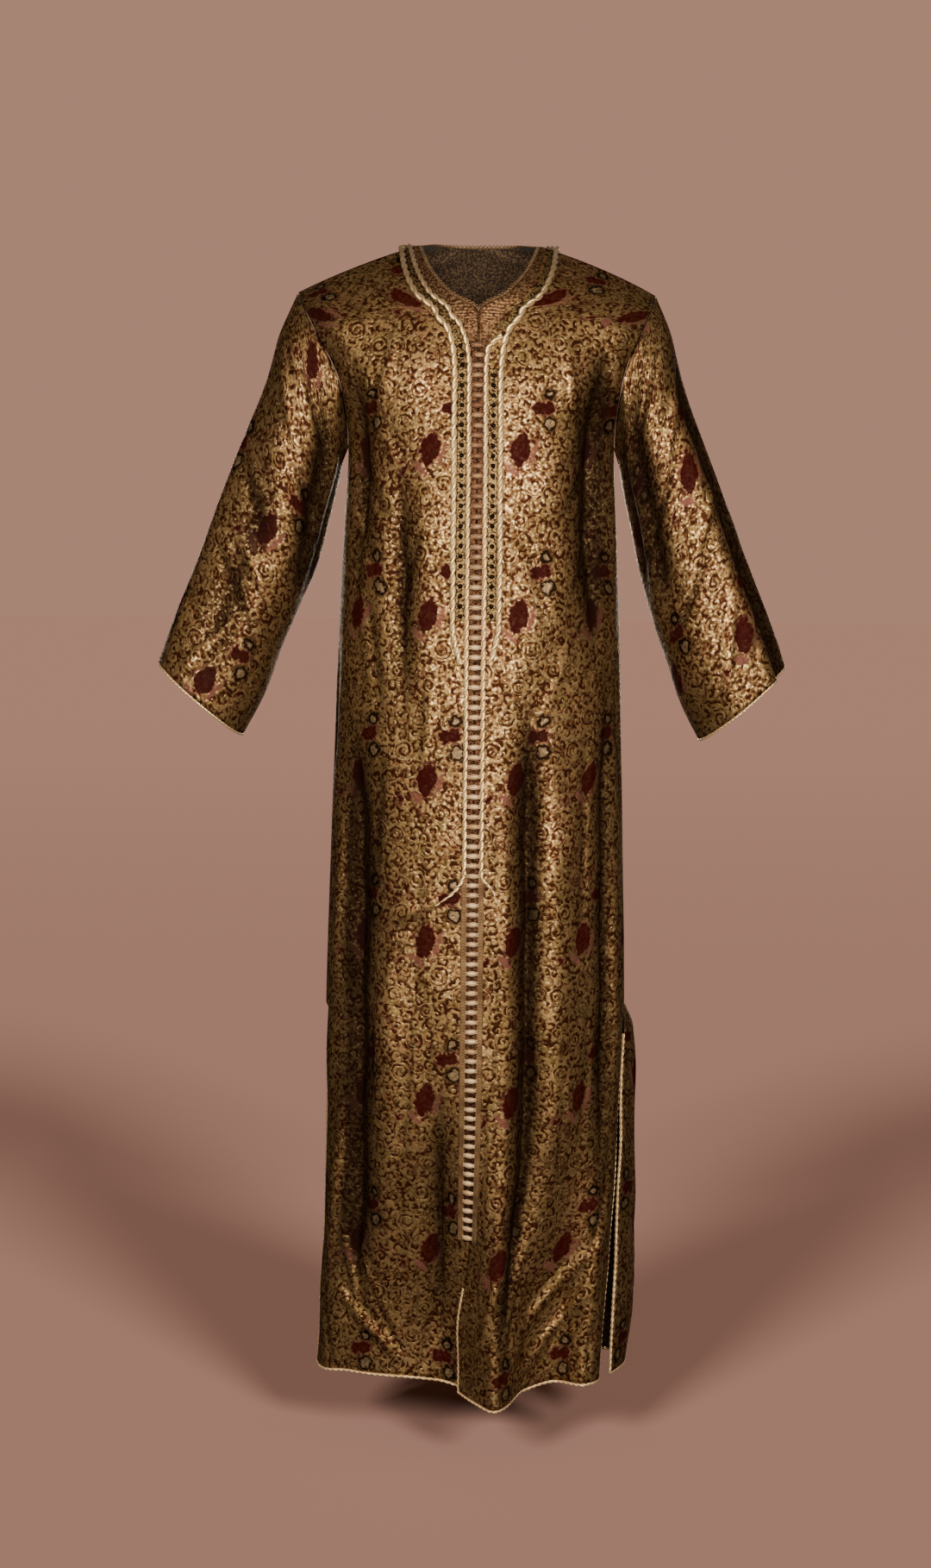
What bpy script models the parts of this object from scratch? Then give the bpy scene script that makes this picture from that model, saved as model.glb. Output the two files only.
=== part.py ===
"""Moroccan kaftan in its hollow worn form: two fronts, a back, two sleeves and their cream trims.

Metres, +Z up. The wearer faces -Y, so the wearer's right side is at -X and the left side at +X.
The origin is midway between the two points where the neckline meets the shoulder seams.
Every panel is a grid of rows, from the hem up to the shoulder seam. A row starts on the centre
line or on the neckline and ends on the side seam, the slit or the armhole.
"""

import math

import bmesh
import bpy
import numpy as np

# Cloth and trims
CLOTH_THICK = 0.0016
BRAID_THICK = 0.0010
SEAM_GAP = 0.0003
SHOULDER_GAP = 0.0012
WELD = 1e-6
TRIM_GAP = 0.0005
OUTER_CORD_R = 0.0019
INNER_CORD_R = 0.0017
EDGE_CORD_R = 0.0016
CUFF_CORD_R = 0.0015
PICOT_R = 0.0014

# Heights, measured down from the neck points of the shoulder seams
HEM = -1.370
SLIT_TOP = -0.910
SLIT_CORD_TOP = -0.945
UNDERARM = -0.236
V_POINT = -0.0835
SHOULDER = 0.0
LAST_BUTTON = -1.180
FRONT_SLIT_OPEN = -1.300
FRONT_SLIT_CORD_TOP = -1.240
PLASTRON_END = -0.490
PLASTRON_BRAID_END = -0.440
CORD_CROSSING = (-0.150, -0.103)

# The front opening and the shoulders stand a little to the wearer's right of the middle
OPENING_X = -0.005
SHOULDER_LEAN = -0.007
SIDES = {-1: "right", 1: "left"}

# A row is one curve: its handles reach this far towards its knee, and the knee follows a slit's edge
KNEE_PULL = 0.56
KNEE_FOLLOW = 0.7
ROW_SAMPLES = 60
FRONT_COLUMNS = 17
BACK_COLUMNS = 13

# Heights that the rows of a panel run through: from, to, steps
ROW_BANDS = (
    (HEM, SLIT_TOP, 8),
    (SLIT_TOP, UNDERARM, 9),
    (UNDERARM, V_POINT, 5),
    (V_POINT, SHOULDER, 6),
)
NAPE_LEVEL = -0.0557

# A front, drawn for the +X side. Each row runs from its start, round its knee, to its end.
FRONT_SECTIONS = (
    # level, start x, y, z, knee x, y, z, end x, y, z
    (-1.3700, 0.0000, -0.128, -1.3700, 0.186, -0.126, -1.370, 0.1900, 0.006, -1.370),
    (-1.1500, 0.0000, -0.130, -1.1500, 0.184, -0.128, -1.150, 0.1860, 0.004, -1.150),
    (-0.9100, 0.0000, -0.131, -0.9100, 0.181, -0.130, -0.910, 0.1820, 0.002, -0.910),
    (-0.6000, 0.0000, -0.131, -0.6000, 0.174, -0.130, -0.600, 0.1730, 0.000, -0.600),
    (-0.4200, 0.0000, -0.129, -0.4200, 0.167, -0.129, -0.420, 0.1670, 0.000, -0.420),
    (-0.3100, 0.0000, -0.126, -0.3100, 0.162, -0.130, -0.310, 0.1610, 0.000, -0.310),
    (-0.2360, 0.0000, -0.120, -0.2360, 0.160, -0.128, -0.236, 0.1580, 0.000, -0.236),
    (-0.1550, 0.0000, -0.106, -0.1550, 0.158, -0.112, -0.155, 0.1660, -0.050, -0.158),
    (-0.0835, 0.0000, -0.084, -0.0835, 0.142, -0.088, -0.088, 0.1870, -0.049, -0.112),
    (-0.0605, 0.0350, -0.071, -0.0605, 0.140, -0.069, -0.070, 0.1990, -0.036, -0.087),
    (-0.0280, 0.0605, -0.040, -0.0280, 0.140, -0.037, -0.043, 0.2080, -0.017, -0.068),
    (0.0000, 0.0720, 0.004, 0.0000, 0.145, 0.004, -0.019, 0.2125, 0.004, -0.056),
)

# Half of the back, drawn for the +X side, from the centre back
BACK_SECTIONS = (
    # level, start x, y, z, knee x, y, z, end x, y, z
    (-1.3700, 0.0000, 0.128, -1.3700, 0.186, 0.126, -1.370, 0.1920, 0.010, -1.370),
    (-1.1500, 0.0000, 0.127, -1.1500, 0.184, 0.125, -1.150, 0.1870, 0.006, -1.150),
    (-0.9100, 0.0000, 0.125, -0.9100, 0.181, 0.124, -0.910, 0.1820, 0.002, -0.910),
    (-0.6000, 0.0000, 0.118, -0.6000, 0.174, 0.118, -0.600, 0.1730, 0.000, -0.600),
    (-0.4200, 0.0000, 0.106, -0.4200, 0.167, 0.107, -0.420, 0.1670, 0.000, -0.420),
    (-0.3100, 0.0000, 0.103, -0.3100, 0.162, 0.105, -0.310, 0.1610, 0.000, -0.310),
    (-0.2360, 0.0000, 0.104, -0.2360, 0.160, 0.108, -0.236, 0.1580, 0.000, -0.236),
    (-0.1550, 0.0000, 0.103, -0.1200, 0.158, 0.110, -0.150, 0.1700, 0.055, -0.160),
    (-0.0835, 0.0000, 0.086, -0.0350, 0.150, 0.094, -0.080, 0.1880, 0.054, -0.112),
    (-0.0557, 0.0000, 0.064, 0.0040, 0.146, 0.072, -0.052, 0.1990, 0.043, -0.090),
    (-0.0418, 0.0270, 0.0605, 0.0045, 0.146, 0.056, -0.041, 0.2040, 0.034, -0.078),
    (-0.0278, 0.0490, 0.047, 0.0045, 0.145, 0.038, -0.031, 0.2080, 0.024, -0.068),
    (0.0000, 0.0720, 0.004, 0.0000, 0.145, 0.004, -0.019, 0.2125, 0.004, -0.056),
)

# Where each panel's side edge hangs below the top of the slit
SLIT_EDGES = {
    # level, x, y, how far the row's knee stands out
    "front_right": (
        (-0.910, -0.1790, 0.002, 0.000),
        (-0.945, -0.1790, -0.003, 0.000),
        (-1.150, -0.1820, -0.002, 0.000),
        (-1.300, -0.1870, 0.004, 0.000),
        (-1.370, -0.1920, 0.010, 0.000),
    ),
    "front_left": (
        (-0.910, 0.1820, 0.002, 0.000),
        (-0.945, 0.1800, -0.004, 0.000),
        (-1.150, 0.1710, -0.024, 0.000),
        (-1.300, 0.1605, -0.040, 0.000),
        (-1.370, 0.1565, -0.047, 0.000),
    ),
    "back_right": (
        (-0.910, -0.1790, 0.002, 0.000),
        (-0.945, -0.1800, 0.007, 0.000),
        (-1.150, -0.1810, 0.026, 0.000),
        (-1.300, -0.1820, 0.038, 0.000),
        (-1.370, -0.1810, 0.044, 0.000),
    ),
    "back_left": (
        (-0.910, 0.1820, 0.002, 0.030),
        (-0.945, 0.1830, 0.006, 0.085),
        (-1.150, 0.1800, -0.003, 0.114),
        (-1.300, 0.1760, -0.010, 0.121),
        (-1.370, 0.1720, -0.013, 0.112),
    ),
}

# How the hem of each front swings: towards the wearer (positive y) or out, and up or down
HEM_SWING = {
    # share of the row from the opening, y shift, z shift
    "front_right": (
        (0.00, 0.050, -0.002),
        (0.14, 0.062, 0.005),
        (0.35, 0.048, 0.011),
        (0.60, 0.034, 0.011),
        (0.85, 0.006, 0.006),
        (1.00, 0.000, 0.004),
    ),
    "front_left": (
        (0.00, 0.050, -0.002),
        (0.17, -0.008, -0.007),
        (0.34, 0.040, 0.000),
        (0.52, 0.050, 0.005),
        (0.80, 0.004, 0.008),
        (1.00, 0.000, 0.006),
    ),
}
SWING_TOP = -0.900
SWING_GROWTH = 1.2

# Below the last button the left front's edge lies over the right front's
OPENING_SHIFT = {"front_left": (-0.010, -0.005, 0.0), "front_right": (-0.004, 0.011, 0.0)}
OPENING_SHIFT_REACH = 0.050
OPENING_SHIFT_TOP = LAST_BUTTON - 0.005

# The largest folds: soft troughs (negative depth) and ridges, from a level down to another
FRONT_FOLDS = {
    # level a, across a, level b, across b, half width, depth
    "front_left": (
        (-0.520, 0.066, -1.330, 0.072, 0.017, -0.015),
        (-0.620, 0.104, -1.300, 0.108, 0.022, 0.007),
        (-0.130, 0.142, -0.500, 0.156, 0.013, -0.010),
        (-0.480, 0.176, -1.150, 0.170, 0.016, -0.008),
    ),
    "front_right": (
        (-0.120, 0.150, -0.440, 0.165, 0.012, -0.009),
        (-0.270, 0.084, -0.560, 0.078, 0.018, -0.006),
        (-0.560, 0.156, -1.300, 0.150, 0.018, -0.012),
        (-0.760, 0.104, -1.320, 0.106, 0.022, 0.006),
        (-0.960, 0.038, -1.340, 0.034, 0.014, -0.008),
    ),
}
BACK_FOLDS = {
    "back_left": (
        (-0.300, 0.060, HEM, 0.074, 0.024, -0.016),
        (-0.420, 0.112, HEM, 0.124, 0.020, 0.010),
        (-0.350, 0.150, HEM, 0.166, 0.016, -0.012),
    ),
    "back_right": (
        (-0.260, 0.048, HEM, 0.060, 0.022, -0.013),
        (-0.500, 0.100, HEM, 0.108, 0.022, 0.009),
        (-0.330, 0.142, HEM, 0.152, 0.017, -0.014),
    ),
}
FOLD_FADE = 0.16
FOLD_LEAD = 0.02
SEAM_CALM = 0.035
FOLD_SIDEWAYS = 0.45

# The sleeve at +X: its outer line, its underarm line, half its depth and its middle in y
SLEEVE_RINGS = (
    # outer x, z, inner x, z, half depth, middle y
    (0.2330, -0.104, 0.1680, -0.266, 0.066, 0.003),
    (0.2480, -0.158, 0.1735, -0.292, 0.067, 0.003),
    (0.2700, -0.216, 0.1820, -0.330, 0.066, 0.002),
    (0.2930, -0.274, 0.1925, -0.376, 0.064, 0.000),
    (0.3150, -0.332, 0.2115, -0.428, 0.063, -0.002),
    (0.3370, -0.390, 0.2310, -0.478, 0.064, -0.003),
    (0.3600, -0.446, 0.2490, -0.530, 0.066, -0.004),
    (0.3770, -0.494, 0.2760, -0.582, 0.067, -0.004),
)
SLEEVE_LEAN = -0.008
SLEEVE_LEAN_FROM, SLEEVE_LEAN_FULL = 0.17, 0.24
SLEEVE_STEPS = 13
SLEEVE_FOLD_LEAD = 0.05
SLEEVE_FOLD_FADE = 0.15
# Turning by these angles (degrees) at the armhole, a sleeve meets the panel's edge or its face
EDGE_TURN, FACE_TURN = 40, 100
SLEEVE_FOLDS = {
    # turn a, turn b (degrees from the outer line to the front), share a, share b, width, depth
    "sleeve_right": (
        (122, 150, 0.10, 0.60, 16, -0.010),
        (20, 38, 0.25, 1.00, 14, 0.004),
        (70, 88, 0.35, 0.95, 18, -0.005),
        (250, 230, 0.10, 0.90, 20, -0.008),
    ),
    "sleeve_left": (
        (120, 132, 0.08, 0.62, 15, -0.009),
        (44, 40, 0.22, 1.00, 13, 0.006),
        (8, 10, 0.40, 1.00, 16, -0.007),
        (246, 236, 0.10, 0.90, 20, -0.008),
    ),
}

# Routes of the trims: level of the row, distance along the row from the opening or neckline
OUTER_CORD = (
    (0.0000, 0.0200),
    (-0.0280, 0.0260),
    (-0.0605, 0.0370),
    (-0.0835, 0.0490),
    (-0.1050, 0.0350),
    (-0.1300, 0.0285),
    (-0.1600, 0.0270),
    (-0.4450, 0.0265),
    (-0.4720, 0.0215),
    (PLASTRON_END, 0.0158),
)
INNER_CORD_RIGHT = (
    (0.0000, 0.0095),
    (-0.0280, 0.0130),
    (-0.0605, 0.0215),
    (-0.0835, 0.0330),
    (-0.1000, 0.0210),
    (-0.1250, 0.0125),
    (-0.1500, 0.0105),
    (LAST_BUTTON, 0.0105),
)
INNER_CORD_LEFT = (
    (-0.1120, 0.0265),
    (-0.1190, 0.0185),
    (-0.1280, 0.0120),
    (-0.1500, 0.0105),
    (LAST_BUTTON, 0.0105),
)
OUTER_CORD_BACK = (
    (0.0000, 0.0200),
    (-0.0278, 0.0235),
    (NAPE_LEVEL, 0.0180),
    (-0.0620, 0.0110),
    (-0.0665, 0.0000),
)
BAND_MARGIN = 0.0006
V_POINT_RISE = 0.0035
CLOSE = 0.0015
NECK_REGION = -0.135
HALVING_STEP = 0.009
BACK_BAND_WIDE = 0.0070
BACK_BAND_BOTTOM = -0.0620

# Knot buttons: one closed row of knots, fastened over both edges of the opening
FIRST_BUTTON = -0.118
BUTTON_COUNT = 92
BUTTON_WIDE = 0.0096
BUTTON_PROUD = 0.0046
WAIST_WIDE = 0.0044
WAIST_PROUD = 0.0016
BUTTON_TOP_SHARE = 0.35

COLOURS = {
    # name: base colour, roughness, metallic
    "gold_brocade": ((0.30, 0.18, 0.08), 0.45, 0.35),
    "cream_cord": ((0.80, 0.60, 0.36), 0.55, 0.10),
    "dotted_braid": ((0.42, 0.27, 0.13), 0.60, 0.10),
}


def clear_scene():
    for item in list(bpy.data.objects):
        bpy.data.objects.remove(item, do_unlink=True)


def make_material(name):
    colour, roughness, metallic = COLOURS[name]
    material = bpy.data.materials.new(name)
    material.use_nodes = True
    shader = material.node_tree.nodes["Principled BSDF"]
    shader.inputs["Base Color"].default_value = (*colour, 1.0)
    shader.inputs["Roughness"].default_value = roughness
    shader.inputs["Metallic"].default_value = metallic
    return material


# ---- Curves and tables ----


def through(knots, values, at):
    """The smooth curve through values at rising knots, read at one place, with no overshoot."""
    runs = np.diff(knots).reshape((-1,) + (1,) * (values.ndim - 1))
    steps = np.diff(values, axis=0) / runs
    before, after = steps[:-1], steps[1:]
    same_way = before * after > 0
    total = np.where(same_way, before + after, 1.0)
    inner = np.where(same_way, 2 * before * after / total, 0.0)
    slopes = np.concatenate([steps[:1], inner, steps[-1:]])
    at = min(max(at, knots[0]), knots[-1])
    i = min(max(int(np.searchsorted(knots, at)) - 1, 0), len(knots) - 2)
    span = knots[i + 1] - knots[i]
    u = (at - knots[i]) / span
    near = 2 * u**3 - 3 * u**2 + 1
    bend = (u**3 - 2 * u**2 + u) * slopes[i] + (u**3 - u**2) * slopes[i + 1]
    return near * values[i] + (1 - near) * values[i + 1] + bend * span


def read_table(table, level):
    """A table's other columns at a level, its first column being the level."""
    rows = np.array(sorted(table))
    return through(rows[:, 0], rows[:, 1:], level)


def smooth_step(a, b, value):
    u = min(max((value - a) / (b - a), 0.0), 1.0)
    return u * u * (3 - 2 * u)


def unit(vectors):
    return vectors / np.linalg.norm(vectors, axis=-1, keepdims=True)


def lengths_along(path):
    return np.r_[0, np.cumsum(np.linalg.norm(np.diff(path, axis=0), axis=1))]


def point_along(path, values, place):
    lengths = lengths_along(path)
    return np.array([np.interp(place, lengths, values[:, k]) for k in range(3)])


def even_points(path, count):
    places = np.linspace(0, lengths_along(path)[-1], count)
    return np.array([point_along(path, path, place) for place in places])


def row_levels():
    levels = [HEM]
    for low, high, steps in ROW_BANDS:
        levels += [low + (high - low) * (k + 1) / steps for k in range(steps)]
    return np.array(levels)


# ---- Panels ----


def section_row(sections, level, side, panel, columns):
    """One row of a panel before its folds, at the wearer's left (side 1) or right (side -1)."""
    row = read_table(sections, level).reshape(3, 3)
    row[:, 0] *= side
    start, knee, end = row
    if level < SLIT_TOP:
        x, y, knee_out = read_table(SLIT_EDGES[panel], level)
        knee[0] += KNEE_FOLLOW * (x - end[0]) + side * knee_out
        end[0], end[1] = x, y
    first = start + (knee - start) * KNEE_PULL
    second = end + (knee - end) * KNEE_PULL
    u = np.linspace(0, 1, ROW_SAMPLES)[:, None]
    path = (1 - u) ** 3 * start + 3 * u * (1 - u) ** 2 * first
    path = path + 3 * u**2 * (1 - u) * second + u**3 * end
    return even_points(path, columns)


def fold_push(level, across, fold):
    level_a, across_a, level_b, across_b, half_width, depth = fold
    share = min(max((level - level_a) / (level_b - level_a), 0.0), 1.0)
    middle = across_a + (across_b - across_a) * share
    fade = smooth_step(level_a + FOLD_LEAD, level_a - FOLD_FADE, level)
    if level_b > HEM:
        fade *= smooth_step(level_b - FOLD_LEAD, level_b + FOLD_FADE, level)
    return depth * fade * math.exp(-(((across - middle) / half_width) ** 2))


def outward(point):
    """Level direction away from the wearer's middle, more to the front and back than sideways."""
    flat = np.array([point[0] * FOLD_SIDEWAYS, point[1], 0.0])
    return flat / np.linalg.norm(flat)


def fold_row(row, level, folds):
    """Moves a row's points in and out by its folds, which die away at a sewn side seam."""
    lengths = lengths_along(row)
    folded = row.copy()
    for k, point in enumerate(row):
        calm = smooth_step(0, SEAM_CALM, lengths[-1] - lengths[k]) if level > SLIT_TOP else 1.0
        push = sum(fold_push(level, lengths[k], fold) for fold in folds)
        folded[k] = point + outward(point) * push * calm
    return folded


def lean(level, shares):
    """Sideways lean of a row: the opening, the neckline and the shoulders stand off the middle."""
    return OPENING_X * (1 - shares) ** 2 + SHOULDER_LEAN * smooth_step(UNDERARM, SHOULDER, level) * shares


def front_grid(panel, side):
    swing = np.array(HEM_SWING[panel])
    shares = np.linspace(0, 1, FRONT_COLUMNS)
    rows = []
    for level in row_levels():
        row = section_row(FRONT_SECTIONS, level, side, panel, FRONT_COLUMNS)
        row[:, 0] += lean(level, shares)
        grow = smooth_step(SWING_TOP, HEM, level) ** SWING_GROWTH
        for k, share in enumerate(shares):
            row[k, 1:] += grow * through(swing[:, 0], swing[:, 1:], share)
        row = fold_row(row, level, FRONT_FOLDS[panel])
        opened = smooth_step(OPENING_SHIFT_TOP, FRONT_SLIT_OPEN, level)
        reach = np.exp(-((lengths_along(row) / OPENING_SHIFT_REACH) ** 2))
        row += opened * reach[:, None] * np.array(OPENING_SHIFT[panel])
        row[:, 0] += side * SEAM_GAP / 2 * (1 - shares)
        row[:, 1] -= SEAM_GAP / 2 * shares
        rows.append(row)
    grid = np.array(rows)
    grid[-1, :, 1] -= SHOULDER_GAP / 2
    return grid


def back_half_grid(panel, side):
    shares = np.linspace(0, 1, BACK_COLUMNS)
    rows = []
    for level in row_levels():
        row = section_row(BACK_SECTIONS, level, side, panel, BACK_COLUMNS)
        row[:, 0] += lean(level, shares) * smooth_step(UNDERARM, NAPE_LEVEL, level)
        row = fold_row(row, level, BACK_FOLDS[panel])
        row[:, 1] += SEAM_GAP / 2 * shares
        rows.append(row)
    grid = np.array(rows)
    grid[-1, :, 1] += SHOULDER_GAP / 2
    return grid


def grid_normals(grid, facing):
    """Outward unit normals of a grid. facing is 1 where columns x rows points outward."""
    up = np.gradient(grid, axis=0)
    across = np.gradient(grid, axis=1)
    return facing * unit(np.cross(across, up))


# ---- Sleeves ----


def armhole_edge(grid, normals, below):
    """Armhole points of a panel, from the shoulder down, with the way out of the panel there."""
    rows = slice(below, None)
    points = grid[rows, -1]
    normal = normals[rows, -1]
    tangent = unit(np.gradient(points, axis=0))
    out = unit(np.cross(normal, tangent))
    inside = grid[rows, -3] - points
    flip = np.where((out * inside).sum(axis=1) > 0, -1.0, 1.0)
    return points[::-1], normal[::-1], (out * flip[:, None])[::-1]


def sleeve_key_rings(side, around):
    turns = np.linspace(0, 2 * math.pi, around, endpoint=False)
    rings = []
    for outer_x, outer_z, inner_x, inner_z, half_depth, middle_y in SLEEVE_RINGS:
        inner_lean = SLEEVE_LEAN * smooth_step(SLEEVE_LEAN_FROM, SLEEVE_LEAN_FULL, inner_x)
        outer = np.array([outer_x + side * SLEEVE_LEAN, middle_y, outer_z])
        inner = np.array([inner_x + side * inner_lean, middle_y, inner_z])
        ring = (outer + inner) / 2 + np.cos(turns)[:, None] * (outer - inner) / 2
        ring[:, 1] -= np.sin(turns) * half_depth
        ring[:, 0] *= side
        rings.append(ring)
    return rings


def sleeve_grid(name, side, front_edge, back_edge):
    """Rings from the armhole to the cuff. The first follows the panels' own armhole points."""
    loop = np.concatenate([front_edge[0], back_edge[0][::-1][1:-1]])
    normal = np.concatenate([front_edge[1], back_edge[1][::-1][1:-1]])
    out = np.concatenate([front_edge[2], back_edge[2][::-1][1:-1]])
    keys = sleeve_key_rings(side, len(loop))
    toward = unit(keys[0] - loop)
    bend = np.degrees(np.arccos(np.clip((toward * out).sum(axis=1), -1, 1)))
    folded_back = np.array([smooth_step(EDGE_TURN, FACE_TURN, angle) for angle in bend])[:, None]
    corner = CLOTH_THICK * np.sin(np.radians(bend))[:, None]
    start = loop + normal * (CLOTH_THICK + 2 * SEAM_GAP) * folded_back
    start = start + toward * (2 * SEAM_GAP + corner * (1 - folded_back))
    rings = np.array([start, *keys])
    knots = np.r_[0, np.cumsum(np.linalg.norm(np.diff(rings, axis=0), axis=2).mean(axis=1))]
    knots = knots / knots[-1]
    grid = np.array([through(knots, rings, share) for share in np.linspace(0, 1, SLEEVE_STEPS + 1)])
    middles = grid.mean(axis=1, keepdims=True)
    away = unit(grid - middles)
    degrees = np.linspace(0, 360, len(loop), endpoint=False)
    for ring, share in enumerate(np.linspace(0, 1, SLEEVE_STEPS + 1)):
        for turn_a, turn_b, share_a, share_b, width, depth in SLEEVE_FOLDS[name]:
            middle = turn_a + (turn_b - turn_a) * min(max((share - share_a) / (share_b - share_a), 0), 1)
            fade = smooth_step(share_a - SLEEVE_FOLD_LEAD, share_a + SLEEVE_FOLD_FADE, share)
            if share_b < 1:
                fade *= smooth_step(share_b + SLEEVE_FOLD_LEAD, share_b - SLEEVE_FOLD_FADE, share)
            apart = (degrees - middle + 180) % 360 - 180
            grid[ring] += away[ring] * (depth * fade * np.exp(-((apart / width) ** 2)))[:, None]
    return grid


# ---- Solids ----


def put_in(collection, name, data, material):
    data.materials.append(material)
    item = bpy.data.objects.new(name, data)
    collection.objects.link(item)
    return item


def cloth_solid(collection, name, grids, thickness, material, closed_round=False):
    """An even wall on one or more grids of points, which are welded where they meet."""
    points = []
    faces = []
    for grid in grids:
        first = len(points)
        rows, columns = grid.shape[:2]
        points += [tuple(point) for point in grid.reshape(-1, 3)]
        for i in range(rows - 1):
            for j in range(columns if closed_round else columns - 1):
                a, b = i * columns + j, i * columns + (j + 1) % columns
                faces.append([first + k for k in (a, b, b + columns, a + columns)])
    mesh = bpy.data.meshes.new(name)
    mesh.from_pydata(points, [], faces)
    work = bmesh.new()
    work.from_mesh(mesh)
    bmesh.ops.remove_doubles(work, verts=work.verts, dist=WELD)
    bmesh.ops.recalc_face_normals(work, faces=work.faces)
    work.to_mesh(mesh)
    work.free()
    mesh.shade_smooth()
    item = put_in(collection, name, mesh, material)
    wall = item.modifiers.new("wall", "SOLIDIFY")
    wall.thickness = thickness
    wall.offset = 0.0
    wall.use_even_offset = True
    wall.use_rim = True
    return item


def cord_solid(collection, name, path, radius, material, closed=False):
    curve = bpy.data.curves.new(name, "CURVE")
    curve.dimensions = "3D"
    curve.bevel_depth = radius
    curve.bevel_resolution = 1
    curve.use_fill_caps = True
    spline = curve.splines.new("POLY")
    spline.points.add(len(path) - 1)
    for point, place in zip(spline.points, path):
        point.co = (*place, 1.0)
    spline.use_cyclic_u = closed
    return put_in(collection, name, curve, material)


# ---- Trims that lie on a panel ----


class Panel:
    """A panel's points and normals, read at any level and distance along its row."""

    def __init__(self, grid, facing):
        self.grid = grid
        self.normals = grid_normals(grid, facing)
        self.levels = row_levels()

    def read(self, values, level, across):
        i = min(max(int(np.searchsorted(self.levels, level)) - 1, 0), len(self.levels) - 2)
        share = (level - self.levels[i]) / (self.levels[i + 1] - self.levels[i])
        low = point_along(self.grid[i], values[i], across)
        high = point_along(self.grid[i + 1], values[i + 1], across)
        return low + (high - low) * share

    def above(self, level, across, height):
        """The point at a height over the panel's outer face."""
        point = self.read(self.grid, level, across)
        normal = unit(self.read(self.normals, level, across))
        return point + normal * (CLOTH_THICK / 2 + height)

    def levels_between(self, low, high):
        """The panel's own rows, the places where the trims turn, and halfway rows at the neck."""
        turns = [level for level, across in OUTER_CORD + INNER_CORD_RIGHT + OUTER_CORD_BACK]
        inner = sorted({level for level in [*self.levels, *turns] if low + CLOSE < level < high - CLOSE})
        inner = [level for k, level in enumerate(inner) if k == 0 or level - inner[k - 1] > CLOSE]
        ends = zip([low, *inner], [*inner, high])
        halved = [(a + b) / 2 for a, b in ends if a > NECK_REGION and b - a > HALVING_STEP]
        return sorted([low, *inner, high, *halved])


def cord_on(panel, route, radius):
    levels = panel.levels_between(route[-1][0], route[0][0])
    lift = TRIM_GAP + radius
    return np.array([panel.above(level, read_table(route, level)[0], lift) for level in levels])


def band_on(panel, low, high, start, stop):
    """A flat band's grid of points between two distances along the rows."""
    lift = TRIM_GAP + BRAID_THICK / 2
    rows = []
    for level in panel.levels_between(low, high):
        rows.append([panel.above(level, across(level), lift) for across in (start, stop)])
    return np.array(rows)


def edge_run(edge, before, distance):
    """Points beside a panel's edge, away from the next line of points inside it."""
    tangent = unit(np.gradient(edge, axis=0))
    out = edge - before
    out = unit(out - (out * tangent).sum(axis=1, keepdims=True) * tangent)
    return edge + out * distance


def around_corner(first, second, corner, distance):
    """Two edge runs joined by one point off the corner between them."""
    middle = (first[-1] + second[0]) / 2
    bulge = corner + unit(middle - corner) * distance
    return np.concatenate([first, [bulge], second])


def slit_and_hem(panel):
    """Beside the last column's slit, from its top down, and then along the hem to the first column."""
    grid = panel.grid
    distance = EDGE_CORD_R + SEAM_GAP
    low = panel.levels <= SLIT_CORD_TOP
    side = edge_run(grid[low, -1], grid[low, -2], distance)[::-1]
    hem = edge_run(grid[0], grid[1], distance)[::-1]
    return around_corner(side, hem, grid[0, -1], distance)


def front_edge_cord(panel):
    """The slit and the hem, and then the opening's edge up to its cord's top."""
    distance = EDGE_CORD_R + SEAM_GAP
    low = panel.levels <= FRONT_SLIT_CORD_TOP
    opening = edge_run(panel.grid[low, 0], panel.grid[low, 1], distance)
    return around_corner(slit_and_hem(panel), opening, panel.grid[0, 0], distance)


def mirrored_run(right, left):
    """One run of points from the right shoulder or slit to the left one, through the middle."""
    middle = (right[0] + left[0]) / 2
    return np.concatenate([right[::-1][:-1], [middle], left[1:]])


def button_row(fronts):
    """Ring sections along the opening: wide and proud at a knot, narrow and low between knots."""
    base = TRIM_GAP + BRAID_THICK + TRIM_GAP
    pitch = (FIRST_BUTTON - LAST_BUTTON) / BUTTON_COUNT
    sections = []
    for k in range(BUTTON_COUNT):
        middle = FIRST_BUTTON - pitch * (k + 0.5)
        sections += [(middle + pitch / 2, 0), (middle, 1)]
    sections.append((LAST_BUTTON, 0))
    rings = []
    for level, knot in sections:
        half = (BUTTON_WIDE if knot else WAIST_WIDE) / 2
        proud = BUTTON_PROUD if knot else WAIST_PROUD
        right, left = (fronts[side].above(level, half, base) for side in (-1, 1))
        out = unit(sum(fronts[side].read(fronts[side].normals, level, half) for side in (-1, 1)))
        middle = (right + left) / 2 + out * proud
        tops = [middle + (edge - middle) * BUTTON_TOP_SHARE for edge in (right, left)]
        rings.append([right, *tops, left])
    return np.array(rings)


def lofted_solid(collection, name, rings, material):
    """A closed solid through ring sections, with flat ends."""
    count, around = rings.shape[:2]
    points = [tuple(point) for point in rings.reshape(-1, 3)]
    faces = []
    for i in range(count - 1):
        for j in range(around):
            a, b = i * around + j, i * around + (j + 1) % around
            faces.append([a, b, b + around, a + around])
    faces.append(list(range(around)))
    faces.append([(count - 1) * around + j for j in range(around)])
    mesh = bpy.data.meshes.new(name)
    mesh.from_pydata(points, [], faces)
    work = bmesh.new()
    work.from_mesh(mesh)
    bmesh.ops.recalc_face_normals(work, faces=work.faces)
    work.to_mesh(mesh)
    work.free()
    return put_in(collection, name, mesh, material)


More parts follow.
